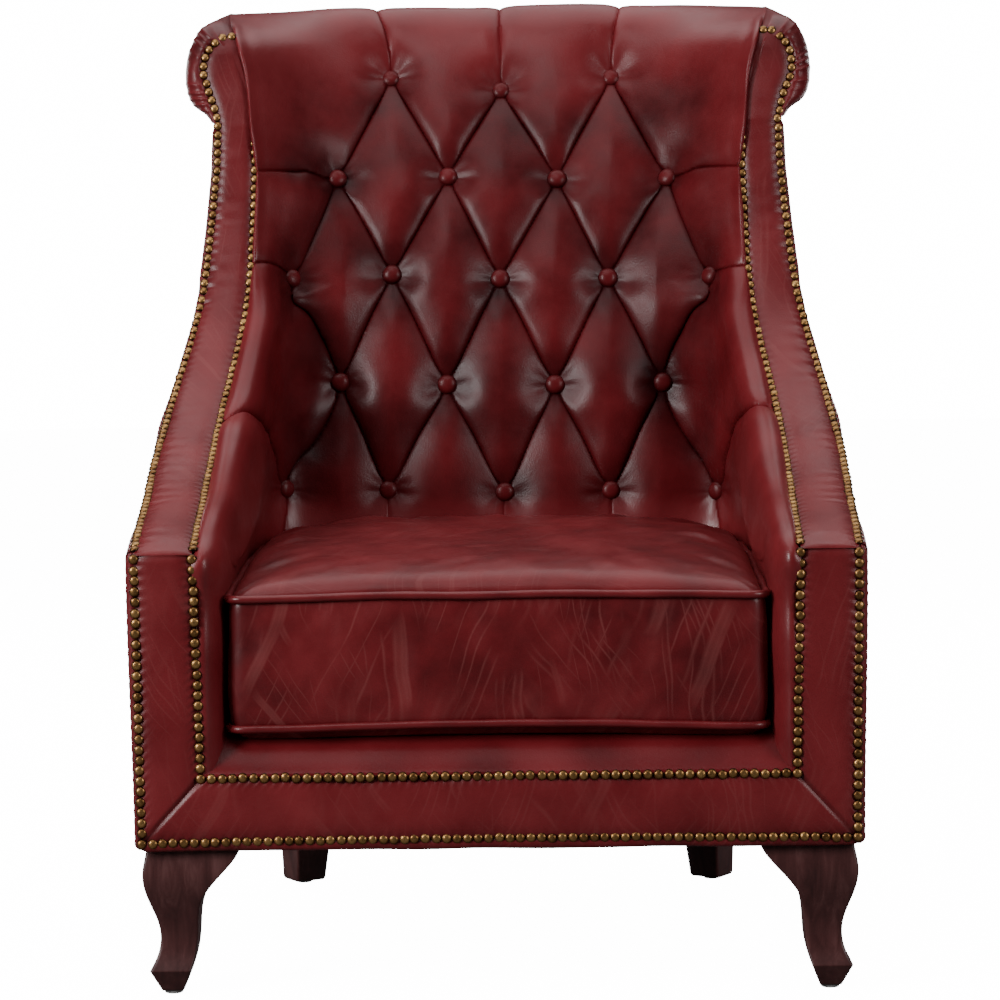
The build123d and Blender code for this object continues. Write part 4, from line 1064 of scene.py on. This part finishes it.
def ear_wrap(sign):
    n = 150
    loop = even(EAR[:12], n=n)
    sil = even(EAR_OUT, n=n)
    t = np.linspace(0, 1, n)
    seam = SHELL_FINAL[int(row_id[-11]):, -1]
    seam = even(seam[::6], n=30)
    rows = []
    for a in range(n):
        Np, O = loop[a], sil[a]
        y0 = Np[1]
        gen = np.array([
            Np + (0, .002, 0),
            (Np[0] + .25 * (O[0] - Np[0]), y0 - .0025, Np[2] + .25 * (O[1] - Np[2])),
            (Np[0] + .60 * (O[0] - Np[0]), y0 + .0005, Np[2] + .60 * (O[1] - Np[2])),
            (Np[0] + .88 * (O[0] - Np[0]), y0 + .0095, Np[2] + .88 * (O[1] - Np[2])),
            (O[0], y0 + .026, O[1]),
            (O[0] - .0005, y0 + .060, O[1]),
            (O[0] - .003, .690, O[1] - .001), (O[0] - .007, .740, O[1] - .003),
            (O[0] - .016, .770, .5 * O[1] + .5 * O[1] - .010 * (O[1] - 1.0) / .09), (O[0] - .032, .783, 1.02 + (O[1] - 1.02) * .62), (.326, .786, 1.02 + (O[1] - 1.02) * .25)])
        k = (1 - sstep(.74, 1.0, t[a]))
        f = np.linspace(0, 1, len(gen))
        sm = np.stack([np.interp(f, np.linspace(0, 1, 30), seam[:, c]) for c in range(3)], axis=1)
        rows.append(smooth(gen * k + sm * (1 - k), [5, 6, 6, 7, 7, 10, 8, 6, 5, 5]))
    P = np.array(rows)
    nrm = grid_normals(P)
    mid = nrm[n // 2, 20]
    if mid[0] < 0:
        nrm = -nrm
    # gathers: the leather is pleated into the nail line and opens out towards the back
    arc = chord(loop)[:, None]
    m = P.shape[1]
    b = np.linspace(0, 1, m)[None, :]
    r2 = np.random.default_rng(5 + (sign > 0))
    phase = 2 * math.pi * (arc / .0094 + 0.40 * np.sin(arc * 60 + sign) + .18 * np.sin(arc * 170))
    env = np.exp(-((b - .17) / .20) ** 2) * sstep(.03, .14, t)[:, None] * (1 - sstep(.86, .99, t))[:, None]
    sharp = 1 - np.abs(np.sin(phase / 2 + b * 1.2 * np.sin(arc * 45))) ** .7 * 2
    dis = 0.0011 * env * sharp * (.55 + .45 * np.sin(arc * 95 + 2 * sign)) + 0.0012 * wobble(P, 14.0, 101) * env
    P = P + nrm * dis[..., None]
    # painted shade in the valleys of the gathers and painted light on their ridges, over random tone
    wv = np.clip(0.54 + 90 * dis + 0.10 * wobble(P, 10.0, 102), 0, 1)
    if sign < 0:
        P = mir(P)
    return P, wv


for sign, side in ((1, "right"), (-1, "left")):
    P, wv = ear_wrap(sign)
    ob = grids(side + "_ear_leather", [(P, sign < 0, False)], M_BAND)
    paint(ob, wv)
    place(ob, ROOT, "leather", side + "_ear_wrap", fill=0.9)

# ----------------------------------------------------------- seat cushion
CX, CY0, CY1 = .2812, .020, .508
CZT, CZB = .4225, .2860
TOP_LINE = np.array([(.0200, .0), (.0212, .0058), (.0248, .0120), (.032, .0190), (.046, .0255), (.076, .0325), (.128, .0392), (.200, .0450),
                     (.300, .0502), (.390, .0528), (.440, .0515), (.475, .0465), (.494, .0380), (.504, .0265), (.508, .0150)])
SIDE_LINE = np.array([(0, 1.0), (.25, .985), (.45, .950), (.62, .880), (.75, .795), (.85, .690), (.92, .560), (.96, .420), (.985, .250), (1.0, .0)])


def rounded_loop(hx, y0, y1, r, n):
    """Points round a rectangle with round corners, evenly spaced, from the middle of the front edge."""
    seg = []
    def arc(cx, cy, a0):
        for a in np.linspace(a0, a0 + 90, 12):
            seg.append((cx + r * math.cos(math.radians(a)), cy + r * math.sin(math.radians(a))))
    seg.append((0, y0))
    arc(hx - r, y0 + r, -90)
    arc(hx - r, y1 - r, 0)
    arc(-hx + r, y1 - r, 90)
    arc(-hx + r, y0 + r, 180)
    seg.append((0, y0))
    S = np.array(seg)
    t = chord(S)
    q = np.linspace(0, t[-1], n, endpoint=False)
    return np.stack([np.interp(q, t, S[:, 0]), np.interp(q, t, S[:, 1])], axis=1)


NLOOP = 560
CRN = .015
loop = rounded_loop(CX, CY0, CY1, CRN, NLOOP)
ctr = np.array([0, (CY0 + CY1) / 2])
lp3 = np.concatenate([loop, np.full((NLOOP, 1), CZT)], axis=1)
front_w = sstep(.10, .03, loop[:, 1])
welt_top = lp3.copy()
welt_top[:, 2] += 0.0014 * wobble(lp3, 5.0, 111) + front_w * (.0014 - .0024 * (np.abs(loop[:, 0]) / CX) ** 2.4)
welt_top[:, 2] += .0150 * sstep(.03, .30, loop[:, 1])
welt_low = lp3.copy()
welt_low[:, 2] = CZB + 0.0010 * wobble(lp3, 5.0, 112) + front_w * .0022 * np.cos(loop[:, 0] / CX * math.pi)
nrm2 = unit(np.stack([np.roll(loop[:, 1], -1) - np.roll(loop[:, 1], 1), np.roll(loop[:, 0], 1) - np.roll(loop[:, 0], -1)], axis=1))
if np.sum(nrm2[0] * (loop[0] - ctr)) < 0:
    nrm2 = -nrm2


def crown_of(x, y):
    """Height of the filled top panel over its welt: distances to the edges measured inside the rounded outline."""
    ax = np.abs(x)
    # squeeze the plan so that the round corners map on to the same edge profile
    ex = np.clip(ax / CX, 0, 1)
    gy = np.interp(y, TOP_FINE[:, 0], TOP_FINE[:, 1])
    gx = np.interp(ex, SIDE_FINE[:, 0], SIDE_FINE[:, 1])
    lift = .0150 * sstep(.03, .30, y)
    return lift, np.maximum(gy - lift, 0) * gx


tl = chord(TOP_LINE)
TOP_FINE = spline(tl, TOP_LINE, np.linspace(0, tl[-1], 600))
TOP_FINE[:, 0] = np.maximum.accumulate(TOP_FINE[:, 0])
tl = chord(SIDE_LINE * np.array([.279, .058]))
SIDE_FINE = spline(tl, SIDE_LINE, np.linspace(0, tl[-1], 600))
SIDE_FINE[:, 0] = np.maximum.accumulate(SIDE_FINE[:, 0])
rad = np.concatenate([1 - np.linspace(0, 1, 22) ** 1.5 * .10, np.linspace(.90, .0, 62)[1:]])
top = np.zeros((len(rad), NLOOP, 3))
# corner points of the plan are pushed to the matching square, so the profiles reach zero all round the outline
cxy = np.stack([np.clip(loop[:, 0], -CX + CRN, CX - CRN), np.clip(loop[:, 1], CY0 + CRN, CY1 - CRN)], axis=1)
off = loop - cxy
big_ = np.max(np.abs(off), axis=1)
sq = np.where(big_[:, None] > 1e-9, cxy + off * (CRN / np.maximum(big_, 1e-9))[:, None], loop)
for k, f in enumerate(rad):
    top[k, :, :2] = ctr + (loop - ctr) * f
    blend = f ** 14
    use = top[k, :, :2] * (1 - blend) + (ctr + (sq - ctr) * f) * blend
    lift, crown_h = crown_of(use[:, 0], use[:, 1])
    top[k, :, 2] = welt_top[:, 2] * blend + (CZT + .001 + lift) * (1 - blend) - .0005 + crown_h
top_w = np.clip(0.60 + 0.13 * wobble(top, 6.0, 113) + .05 * wobble(top, 20.0, 117) + .10 * np.exp(-((rad - .955) / .03) ** 2)[:, None], 0, 1)
soft = (1 - rad[:, None] ** 10)
top[..., 2] += soft * (0.0016 * wobble(top, 6.0, 114) + 0.0004 * wobble(top, 28.0, 115, 3))
inside = np.minimum(np.minimum(CX - np.abs(top[..., 0]), top[..., 1] - CY0), CY1 - top[..., 1])
# boxing: bulges out a little between the welts
qb = np.linspace(0, 1, 40)
box = np.zeros((len(qb), NLOOP, 3))
for k, f in enumerate(qb):
    z = welt_low[:, 2] + .002 + (welt_top[:, 2] - welt_low[:, 2] - .004) * f
    bul = .0048 * math.sin(math.pi * f) ** .5 + .0006
    box[k, :, :2] = loop + nrm2 * bul
    box[k, :, 2] = z
bx_n = 0.0015 * wobble(box, 7.0, 116) + 0.0006 * wobble(box * np.array([2.0, 2.0, .7]), 14.0, 118, 3)
box[..., :2] += nrm2[None] * bx_n[..., None] * np.sin(math.pi * np.clip(qb, .04, .96))[:, None, None]
box_w = np.clip(0.57 + .14 * wobble(box, 7.0, 119) + .06 * wobble(box, 25.0, 120), 0, 1)
# underside: full along the front, where nothing carries it
radb = np.concatenate([1 - np.linspace(0, 1, 16) ** 1.4 * .10, np.linspace(.90, 0, 22)[1:]])
bot = np.zeros((len(radb), NLOOP, 3))
for k, f in enumerate(radb):
    bot[k, :, :2] = ctr + (loop - ctr) * f
    y_ = bot[k, :, 1]
    bot[k, :, 2] = welt_low[:, 2] * f ** 10 + CZB * (1 - f ** 10) - .001 - .0060 * sstep(1.0, .955, f) - .0055 * np.exp(-((y_ - .029) / .010) ** 2) * sstep(1.0, .985, f)


def swell(frames=20, cap=.0085):
    """The filling pushes the leather out between its welts: a coarse closed copy is run as cloth under pressure,
    held along both welts, and its movement is put on the fine panels."""
    step, kt, kb, kx = 4, list(range(0, len(rad) - 1, 3)), list(range(0, len(radb) - 1, 3)), list(range(4, 36, 5))
    m = NLOOP // step
    rings = [top[k, ::step] for k in kt[::-1]] + [box[k, ::step] for k in kx[::-1]] + [bot[k, ::step] for k in kb]
    V = np.concatenate(rings + [top[-1, :1], bot[-1, :1]])
    nr = len(rings)
    F = [tuple(f) for f in grid_faces(nr, m, 0, True, True)]
    F += [(nr * m, j, (j + 1) % m) for j in range(m)] + [(nr * m + 1, (nr - 1) * m + (j + 1) % m, (nr - 1) * m + j) for j in range(m)]
    ob = make_object("cushion_under_pressure", V, F, None)
    sewn = ob.vertex_groups.new(name="welts")
    for r in (len(kt) - 1, len(kt) + len(kx)):
        sewn.add(list(range(r * m, (r + 1) * m)), 1.0, "REPLACE")
    md = ob.modifiers.new("cloth", "CLOTH")
    cs = md.settings
    cs.quality, cs.mass = 6, 0.30
    cs.tension_stiffness, cs.compression_stiffness, cs.shear_stiffness, cs.bending_stiffness = 15.0, 15.0, 8.0, 2.0
    cs.vertex_group_mass = "welts"
    cs.use_pressure = True
    cs.uniform_pressure_force = 4.0
    cs.shrink_min = -0.012
    cs.effector_weights.gravity = 0.0
    md.collision_settings.use_collision = False
    md.point_cache.frame_start, md.point_cache.frame_end = 1, frames
    sc = bpy.context.scene
    for f in range(1, frames + 1):
        sc.frame_set(f)
    ev = ob.evaluated_get(bpy.context.evaluated_depsgraph_get())
    me = ev.to_mesh()
    co = np.empty(len(me.vertices) * 3)
    me.vertices.foreach_get("co", co)
    ev.to_mesh_clear()
    move = co.reshape(-1, 3) - V - np.array([0, YS, 0])
    bpy.data.objects.remove(ob, do_unlink=True)
    sc.frame_set(1)
    size = np.linalg.norm(move, axis=1)
    move *= (cap * np.tanh(size / cap) / np.maximum(size, 1e-9))[:, None]
    ring = move[:nr * m].reshape(nr, m, 3)
    t = np.arange(-6, m + 6)
    fine = np.array([spline(t.astype(float), r[t % m], np.arange(NLOOP) / step) for r in ring])
    a, b = len(kt), len(kt) + len(kx)

    def panel_move(rows, at, last, count):
        C = np.concatenate([rows, last[None]])
        return spline(np.array(at, float), C.reshape(len(C), -1), np.arange(count, dtype=float)).reshape(count, NLOOP, 3)

    none = np.zeros((NLOOP, 3))
    d_top = panel_move(fine[:a][::-1], kt + [len(rad) - 1], np.tile(move[-2], (NLOOP, 1)), len(rad))
    d_box = panel_move(np.concatenate([none[None], fine[a:b][::-1]]), [0] + kx + [len(qb) - 1], none, len(qb))
    d_bot = panel_move(fine[b:], kb + [len(radb) - 1], np.tile(move[-1], (NLOOP, 1)), len(radb))
    return d_top, d_box, d_bot


room = (sstep(.004, .060, inside) * sstep(.030, .150, top[..., 1]))[..., None] * np.array([.4, .4, 1.0])     # the front roll is stuffed firm
top = top - swell()[0] * room          # the panel is cut flatter by what the filling will add
d_top, d_box, d_bot = swell()
print("cushion swell, mm: top %.1f mean %.1f most, boxing %.1f most" % (1e3 * d_top[..., 2].mean(), 1e3 * d_top[..., 2].max(), 1e3 * np.abs(d_box).max()))
free = sstep(.055, .020, loop[:, 1]) * sstep(CX - .010, CX - .110, np.abs(loop[:, 0]))      # only the front boxing has room to bulge
top = top + d_top * room
box = box + d_box * (.05 + .45 * free)[None, :, None]
bot = bot + d_bot * (.10 * np.clip(1 - (bot[..., 1:2] - .02) / .05, 0, 1))
ob = grids("seat_cushion_leather", [(top, False, True), (box, True, True), (bot, True, True)], M_CUSH)
paint(ob, np.concatenate([top_w.reshape(-1), box_w.reshape(-1), np.full(bot.shape[0] * NLOOP, .45)]))
paint(ob, np.concatenate([np.ones(top.shape[0] * NLOOP), np.zeros((box.shape[0] + bot.shape[0]) * NLOOP)]), "level")
place(ob, CUSH, "leather", "seat_cushion_top_panel", "seat_cushion_boxing", "seat_cushion_bottom_panel", "seat_cushion_foam", fill=0.85)
for nm, W, nodes in (("seat_cushion_upper_welt", welt_top, "seat_cushion_top_welt"), ("seat_cushion_lower_welt", welt_low, "seat_cushion_bottom_welt")):
    c = W.copy()
    c[:, :2] += nrm2 * .0034
    rr = .0043 * (1 + .05 * wobble(W, 30.0, 121))
    T = tube(c, rr, 12)
    ob = grids(nm, [(T, False, True)], M_WELT)
    paint(ob, np.clip(.62 + .12 * wobble(T, 20.0, 122), 0, 1))
    place(ob, CUSH, "leather", nodes)
# zip along the back boxing: tape, teeth and a pull
xs = np.linspace(-.215, .215, 216)
zs = np.array([-.0135, -.0128, -.0040, -.0034, -.0016, 0, .0016, .0034, .0040, .0128, .0135])
hz = np.array([-.0012, .0006, .0008, .0004, .0013, .0016, .0013, .0004, .0008, .0006, -.0012])
P = np.zeros((len(xs), len(zs), 3))
P[..., 0] = xs[:, None]
P[..., 1] = CY1 + .0046 + hz[None, :] + .0007 * np.cos(2 * math.pi * xs / .004)[:, None] * (np.abs(zs) < .002)[None, :]
P[..., 2] = .3515 + zs[None, :]
pull = np.array([(.202 + .004 * math.cos(a), CY1 + .0066 + h, .3515 + .0085 * math.sin(a)) for h in (-.002, .0012) for a in np.linspace(0, 2 * math.pi, 20, endpoint=False)]).reshape(2, 20, 3)
ob = grids("seat_cushion_zip_tape", [(P, False, False), (pull, False, True)], M_ZIP)
place(ob, CUSH, "zip", "seat_cushion_zip")

# ------------------------------------------------------------------- nails
def nail_places():
    """Point, outward direction and node for every nail on the right half or the middle."""
    out = {"front_border_nails": [], "right_facing_nails": [], "right_band_nails": []}
    F = np.array([0, -1.0, 0])

    def line(a, b, first=True):
        a, b = np.array(a, float), np.array(b, float)
        n = int(round(np.linalg.norm(b - a) / PITCH))
        for k in range(0 if first else 1, n + 1):
            yield a + (b - a) * k / n

    for p in line((-OUT_X0, 0, OUT_Z), (OUT_X0, 0, OUT_Z)):
        out["front_border_nails"].append((p + np.array([0, .0001, .0030 * (1 - (p[0] / OUT_X0) ** 2)]), F))
    for p in line((-IN_X0, 0, IN_Z), (IN_X0, 0, IN_Z)):
        out["front_border_nails"].append((p + np.array([0, -.0001, 0]), F))
    for p in line((OUT_X0, 0, OUT_Z), (OUT_X1, 0, .466), False):
        out["right_facing_nails"].append((p + np.array([0, -.0001, 0]), F))
    for p in line((IN_X0, 0, IN_Z), (IN_X1, 0, .466), False):
        out["right_facing_nails"].append((p + np.array([0, -.0001, 0]), F))
    n = int(round(band_t[-1] / PITCH))
    for k in range(1, n + 1):
        b = band_at(band_t[-1] * k / n)[0]
        d = np.array([0, b[4], b[5]])
        for x in ((b[2], b[3]) if b[1] < .925 else (b[2],)):      # the inner row ends under the lapping edge of the back
            out["right_band_nails"].append((np.array([x, b[0], b[1]]) + d * .0002, d))
    for p in even(EAR, PITCH)[1:-1]:
        if p[0] < .316 and p[2] < 1.053:
            continue                       # under the lapping edge of the inside back
        d = np.array([0, -.971, .2405])
        out["right_band_nails"].append((p + d * .0004, d))
    return out


def nail_mesh(name, places, r0=.0055, h0=.0034):
    prof = [(0, 1.0), (.25, .975), (.48, .895), (.68, .755), (.84, .55), (.94, .32), (1.0, .06), (1.01, -.10), (.93, -.22)]
    sides = 16
    V, Fc, Wr = [], [], []
    for p, d in places:
        d = unit(np.asarray(d, float) + rng.normal(size=3) * .055)
        q = Vector((0, 0, 1)).rotation_difference(Vector(d))
        tang = unit(np.cross(d, rng.normal(size=3)))
        c = p + tang * rng.normal() * .0004 + d * rng.normal() * .00018
        s0 = len(V)
        V.append(c + d * h0); Wr.append(.85 + rng.normal() * .12)
        base = rng.normal() * .10
        for r, h in prof[1:]:
            for a in range(sides):
                th = 2 * math.pi * a / sides
                V.append(c + np.array(q @ Vector((r0 * r * math.cos(th), r0 * r * math.sin(th), h0 * h))))
                Wr.append(np.clip(.85 - .75 * r ** 4 + base, 0, 1))
        for a in range(sides):
            Fc.append((s0, s0 + 1 + a, s0 + 1 + (a + 1) % sides))
        for k in range(len(prof) - 2):
            o = s0 + 1 + k * sides
            for a in range(sides):
                Fc.append((o + a, o + sides + a, o + sides + (a + 1) % sides, o + (a + 1) % sides))
    ob = make_object(name, V, Fc, M_BRASS)
    paint(ob, Wr)
    return ob


NP = nail_places()
place(nail_mesh("front_border_nail_heads", NP["front_border_nails"]), ROOT, "brass_nails", "front_border_nails")
for kind_ in ("facing", "band"):
    src = NP["right_%s_nails" % kind_]
    place(nail_mesh("right_%s_nail_heads" % kind_, src), ROOT, "brass_nails", "right_%s_nails" % kind_)
    M3 = np.array([-1.0, 1, 1])
    place(nail_mesh("left_%s_nail_heads" % kind_, [(p * M3, d * M3) for p, d in src]), ROOT, "brass_nails", "left_%s_nails" % kind_)

# -------------------------------------------------------------------- legs
OUTER = np.array([(15.5, 158.0), (13.8, 149.0), (11.2, 133.0), (13.2, 114.0), (20.0, 93.5), (26.5, 72.0), (27.3, 57.0), (23.8, 41.5), (16.6, 27.0)]) / 1000
INNER = np.array([(51.0, 4.0), (60.0, 27.0), (64.8, 44.0), (67.4, 64.0), (69.2, 88.0), (72.5, 101.0), (79.5, 113.0), (92.0, 128.0), (104.5, 141.5), (111.5, 151.0), (115.0, 158.0)]) / 1000
TOE = (.0280, .0040)


def front_leg(sign):
    zq = np.concatenate([np.linspace(.158, .0272, 96), [.0268, .0262], np.linspace(.0255, .004, 14)])
    o = even(OUTER, n=300)
    i = even(INNER, n=300)
    uo = np.interp(zq, o[::-1, 1], o[::-1, 0])
    toe = OUTER[-1, 0] + (TOE[0] - OUTER[-1, 0]) * np.clip((OUTER[-1, 1] - zq) / (OUTER[-1, 1] - TOE[1]), 0, 1)
    uo = np.where(zq < OUTER[-1, 1], toe, uo)
    ui = np.interp(zq, i[:, 1], i[:, 0])
    ring = []
    for z, a, b in zip(zq, uo, ui):
        c, hw = (a + b) / 2, (b - a) / 2
        r = min(.0022, hw * .3)
        pts = []
        for k, (cx, cy) in enumerate(((-1, -1), (1, -1), (1, 1), (-1, 1))):
            rr = r * (1.4 if k == 0 else 1.0)
            for t in np.linspace(0, 1, 5):
                th = math.radians(180 + 90 * k + 90 * t)
                pts.append((c + cx * (hw - rr) + rr * math.cos(th), c + cy * (hw - rr) + rr * math.sin(th)))
            # straight run to the next corner, so the wide faces shade flat
            nx, ny = ((1, -1), (1, 1), (-1, 1), (-1, -1))[k]
            e0 = np.array(pts[-1])
            e1 = np.array((c + nx * (hw - (r if k < 3 else 1.4 * r) * (1 if (k % 2) else 1)), c + ny * hw)) if k in (0, 2) else np.array((c + nx * hw, c + ny * (hw - r)))
            for f in (.04, .5, .96):
                pts.append(tuple(e0 + (e1 - e0) * f))
        pts = np.array(pts)
        ring.append(np.stack([.389 - pts[:, 0], pts[:, 1] - .004, np.full(len(pts), z)], axis=1))
    P = np.array(ring)
    foot = P[-1].mean(axis=0)
    cap = np.array([foot + (P[-1] - foot) * f for f in (.97, .5, .01)])
    topc = P[0].mean(axis=0)
    cap0 = np.array([topc + (P[0] - topc) * f for f in (.01, .6, .97)])
    P = np.concatenate([cap0, P, cap])
    if sign < 0:
        P = mir(P)
    return P


for sign, side in ((1, "right"), (-1, "left")):
    ob = grids("front_%s_leg_carved" % side, [(front_leg(sign), sign > 0, True)], M_WOOD)
    place(ob, ROOT, "leg_timber", "front_%s_leg" % side)


def rear_leg(sign):
    top, foot = np.array([.247, .604, .158]), np.array([.257, .644, .004])
    ring = []
    for t in np.concatenate([np.linspace(0, .97, 30), np.linspace(.97, 1, 5)[1:]]):
        c = top + (foot - top) * t
        hw = (.030 + (.020 - .030) * t) * (1 - .06 * sstep(.98, 1, t))
        r, pts = .0025, []
        for k, (cx, cy) in enumerate(((-1, -1), (1, -1), (1, 1), (-1, 1))):
            for q in np.linspace(0, 1, 5):
                th = math.radians(180 + 90 * k + 90 * q)
                pts.append((cx * (hw - r) + r * math.cos(th), cy * (hw - r) + r * math.sin(th)))
            nx, ny = ((1, -1), (1, 1), (-1, 1), (-1, -1))[k]
            e0 = np.array(pts[-1])
            e1 = np.array((nx * (hw - r), ny * hw)) if k in (0, 2) else np.array((nx * hw, ny * (hw - r)))
            for f in (.04, .5, .96):
                pts.append(tuple(e0 + (e1 - e0) * f))
        pts = np.array(pts)
        a = math.radians(58)
        ring.append(np.stack([c[0] + pts[:, 0] * math.cos(a) - pts[:, 1] * math.sin(a), c[1] + pts[:, 0] * math.sin(a) + pts[:, 1] * math.cos(a), np.full(len(pts), c[2])], axis=1))
    P = np.array(ring)
    e, s = P[-1].mean(axis=0), P[0].mean(axis=0)
    P = np.concatenate([np.array([s + (P[0] - s) * f for f in (.01, .6, .97)]), P, np.array([e + (P[-1] - e) * f for f in (.97, .6, .01)])])
    return mir(P) if sign < 0 else P


for sign, side in ((1, "right"), (-1, "left")):
    ob = grids("rear_%s_leg_tapered" % side, [(rear_leg(sign), sign > 0, True)], M_WOOD)
    place(ob, ROOT, "leg_timber", "rear_%s_leg" % side)

# glides with an eased edge
V, Fc = [], []
gp = [(.0085, .0), (.0096, .0006), (.0100, .0018), (.0100, .0042)]
for gx, gy in ((.3495, .0355), (-.3495, .0355), (.257, .644), (-.257, .644)):
    s0 = len(V)
    V.append((gx, gy, .0))
    for r, h in gp:
        for a in range(24):
            th = 2 * math.pi * a / 24
            V.append((gx + r * math.cos(th), gy + r * math.sin(th), h))
    for a in range(24):
        Fc.append((s0, s0 + 1 + (a + 1) % 24, s0 + 1 + a))
    for k in range(3):
        o = s0 + 1 + k * 24
        for a in range(24):
            Fc.append((o + a, o + (a + 1) % 24, o + 24 + (a + 1) % 24, o + 24 + a))
place(make_object("floor_glide_discs", V, Fc, M_GLIDE), ROOT, "glide", "floor_glides")

# ------------------------------------------------------- stage and camera
def glow(name, strength, base):
    m, nt, bs = new_mat(name)
    bs.inputs["Base Color"].default_value = (base, base, base, 1)
    bs.inputs["Roughness"].default_value = 1.0
    bs.inputs["Specular IOR Level"].default_value = 0.0
    bs.inputs["Emission Color"].default_value = (1.0, 1.0, 1.0, 1)
    bs.inputs["Emission Strength"].default_value = strength
    return m


def unlit(ob):
    """Seen by the camera only, so the pale surround adds no light of its own."""
    ob.visible_diffuse = ob.visible_glossy = ob.visible_transmission = ob.visible_shadow = False
    ob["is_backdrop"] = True


unlit(make_object("studio_floor", [(-14, -14 - YS, 0), (14, -14 - YS, 0), (14, 14 - YS, 0), (-14, 14 - YS, 0)], [(0, 1, 2, 3)], glow("pale_floor", 15.0, 0.8)))
dome_v, dome_f = [], []
for k in range(13):
    el = math.radians(-30 + 120 * k / 12)
    for a in range(32):
        th = 2 * math.pi * a / 32
        dome_v.append((13.5 * math.cos(el) * math.cos(th), 13.5 * math.cos(el) * math.sin(th) - YS, 13.5 * math.sin(el)))
for k in range(12):
    for a in range(32):
        dome_f.append((k * 32 + a, (k + 1) * 32 + a, (k + 1) * 32 + (a + 1) % 32, k * 32 + (a + 1) % 32))
unlit(make_object("studio_dome", dome_v, dome_f, glow("pale_wall", 16.0, 0.0)))
m, nt, bs = new_mat("bounce_floor")
bs.inputs["Base Color"].default_value = (0.16, 0.16, 0.16, 1)
bs.inputs["Roughness"].default_value = 1.0
bs.inputs["Specular IOR Level"].default_value = 0.0
ob = make_object("bounce_floor", [(-3, -3.5 - YS, -.002), (3, -3.5 - YS, -.002), (3, 3 - YS, -.002), (-3, 3 - YS, -.002)], [(0, 1, 2, 3)], m)
ob.visible_camera = False
ob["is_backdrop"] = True
world = bpy.data.worlds.new("studio")
bpy.context.scene.world = world
world.use_nodes = True
bg = world.node_tree.nodes["Background"]
bg.inputs[0].default_value = (1.0, 1.0, 1.0, 1)
bg.inputs[1].default_value = 0.07


def area(name, loc, aim, size, power, color=(1, 1, 1)):
    li = bpy.data.lights.new(name, "AREA")
    li.shape = "RECTANGLE"
    li.size, li.size_y = size
    li.energy = power
    li.color = color
    ob = bpy.data.objects.new(name, li)
    ob.location = loc
    ob.rotation_euler = (Vector(aim) - Vector(loc)).to_track_quat("-Z", "Y").to_euler()
    ob.visible_camera = False
    bpy.context.scene.collection.objects.link(ob)
    return ob


area("key", (-0.6, -1.6, 3.3), (0, 0.0, 0.6), (1.8, 1.2), 24)
area("overhead", (0.0, 0.55, 3.3), (0, 0.15, 0.5), (3.6, 2.6), 65)
area("left_box", (-2.6, -2.1, 1.75), (0, 0.0, 0.7), (0.6, 1.6), 114)
area("right_box", (2.7, -2.1, 1.75), (0, 0, 0.7), (0.8, 1.6), 56)
area("high_rear", (0.0, 2.4, 3.3), (0, 0, 0.5), (2.6, 1.0), 9)
area("rear_left", (-2.4, 2.9, 1.0), (0, 0.2, 0.55), (1.2, 1.6), 34)
area("rear_right", (2.4, 2.9, 1.0), (0, 0.2, 0.55), (1.2, 1.6), 30)

cam = bpy.data.cameras.new("photo_camera")
cam.sensor_width = 36.0
cam.sensor_fit = "HORIZONTAL"
cam.lens = 36.0 * 3078.0 / 1000.0
cam.clip_end = 100
cob = bpy.data.objects.new("photo_camera", cam)
pitch, yaw, roll = 0.0688, -0.01422, -0.01229
fwd = Vector((math.sin(yaw) * math.cos(pitch), math.cos(yaw) * math.cos(pitch), -math.sin(pitch)))
right = Vector((math.cos(yaw), -math.sin(yaw), 0))
up = right.cross(fwd)
r2 = math.cos(roll) * right + math.sin(roll) * up
u2 = -math.sin(roll) * right + math.cos(roll) * up
cob.matrix_world = Matrix(((r2.x, u2.x, -fwd.x, 0.0506), (r2.y, u2.y, -fwd.y, -3.2 + YS), (r2.z, u2.z, -fwd.z, 0.7452), (0, 0, 0, 1)))
bpy.context.scene.collection.objects.link(cob)
bpy.context.scene.camera = cob

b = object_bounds()
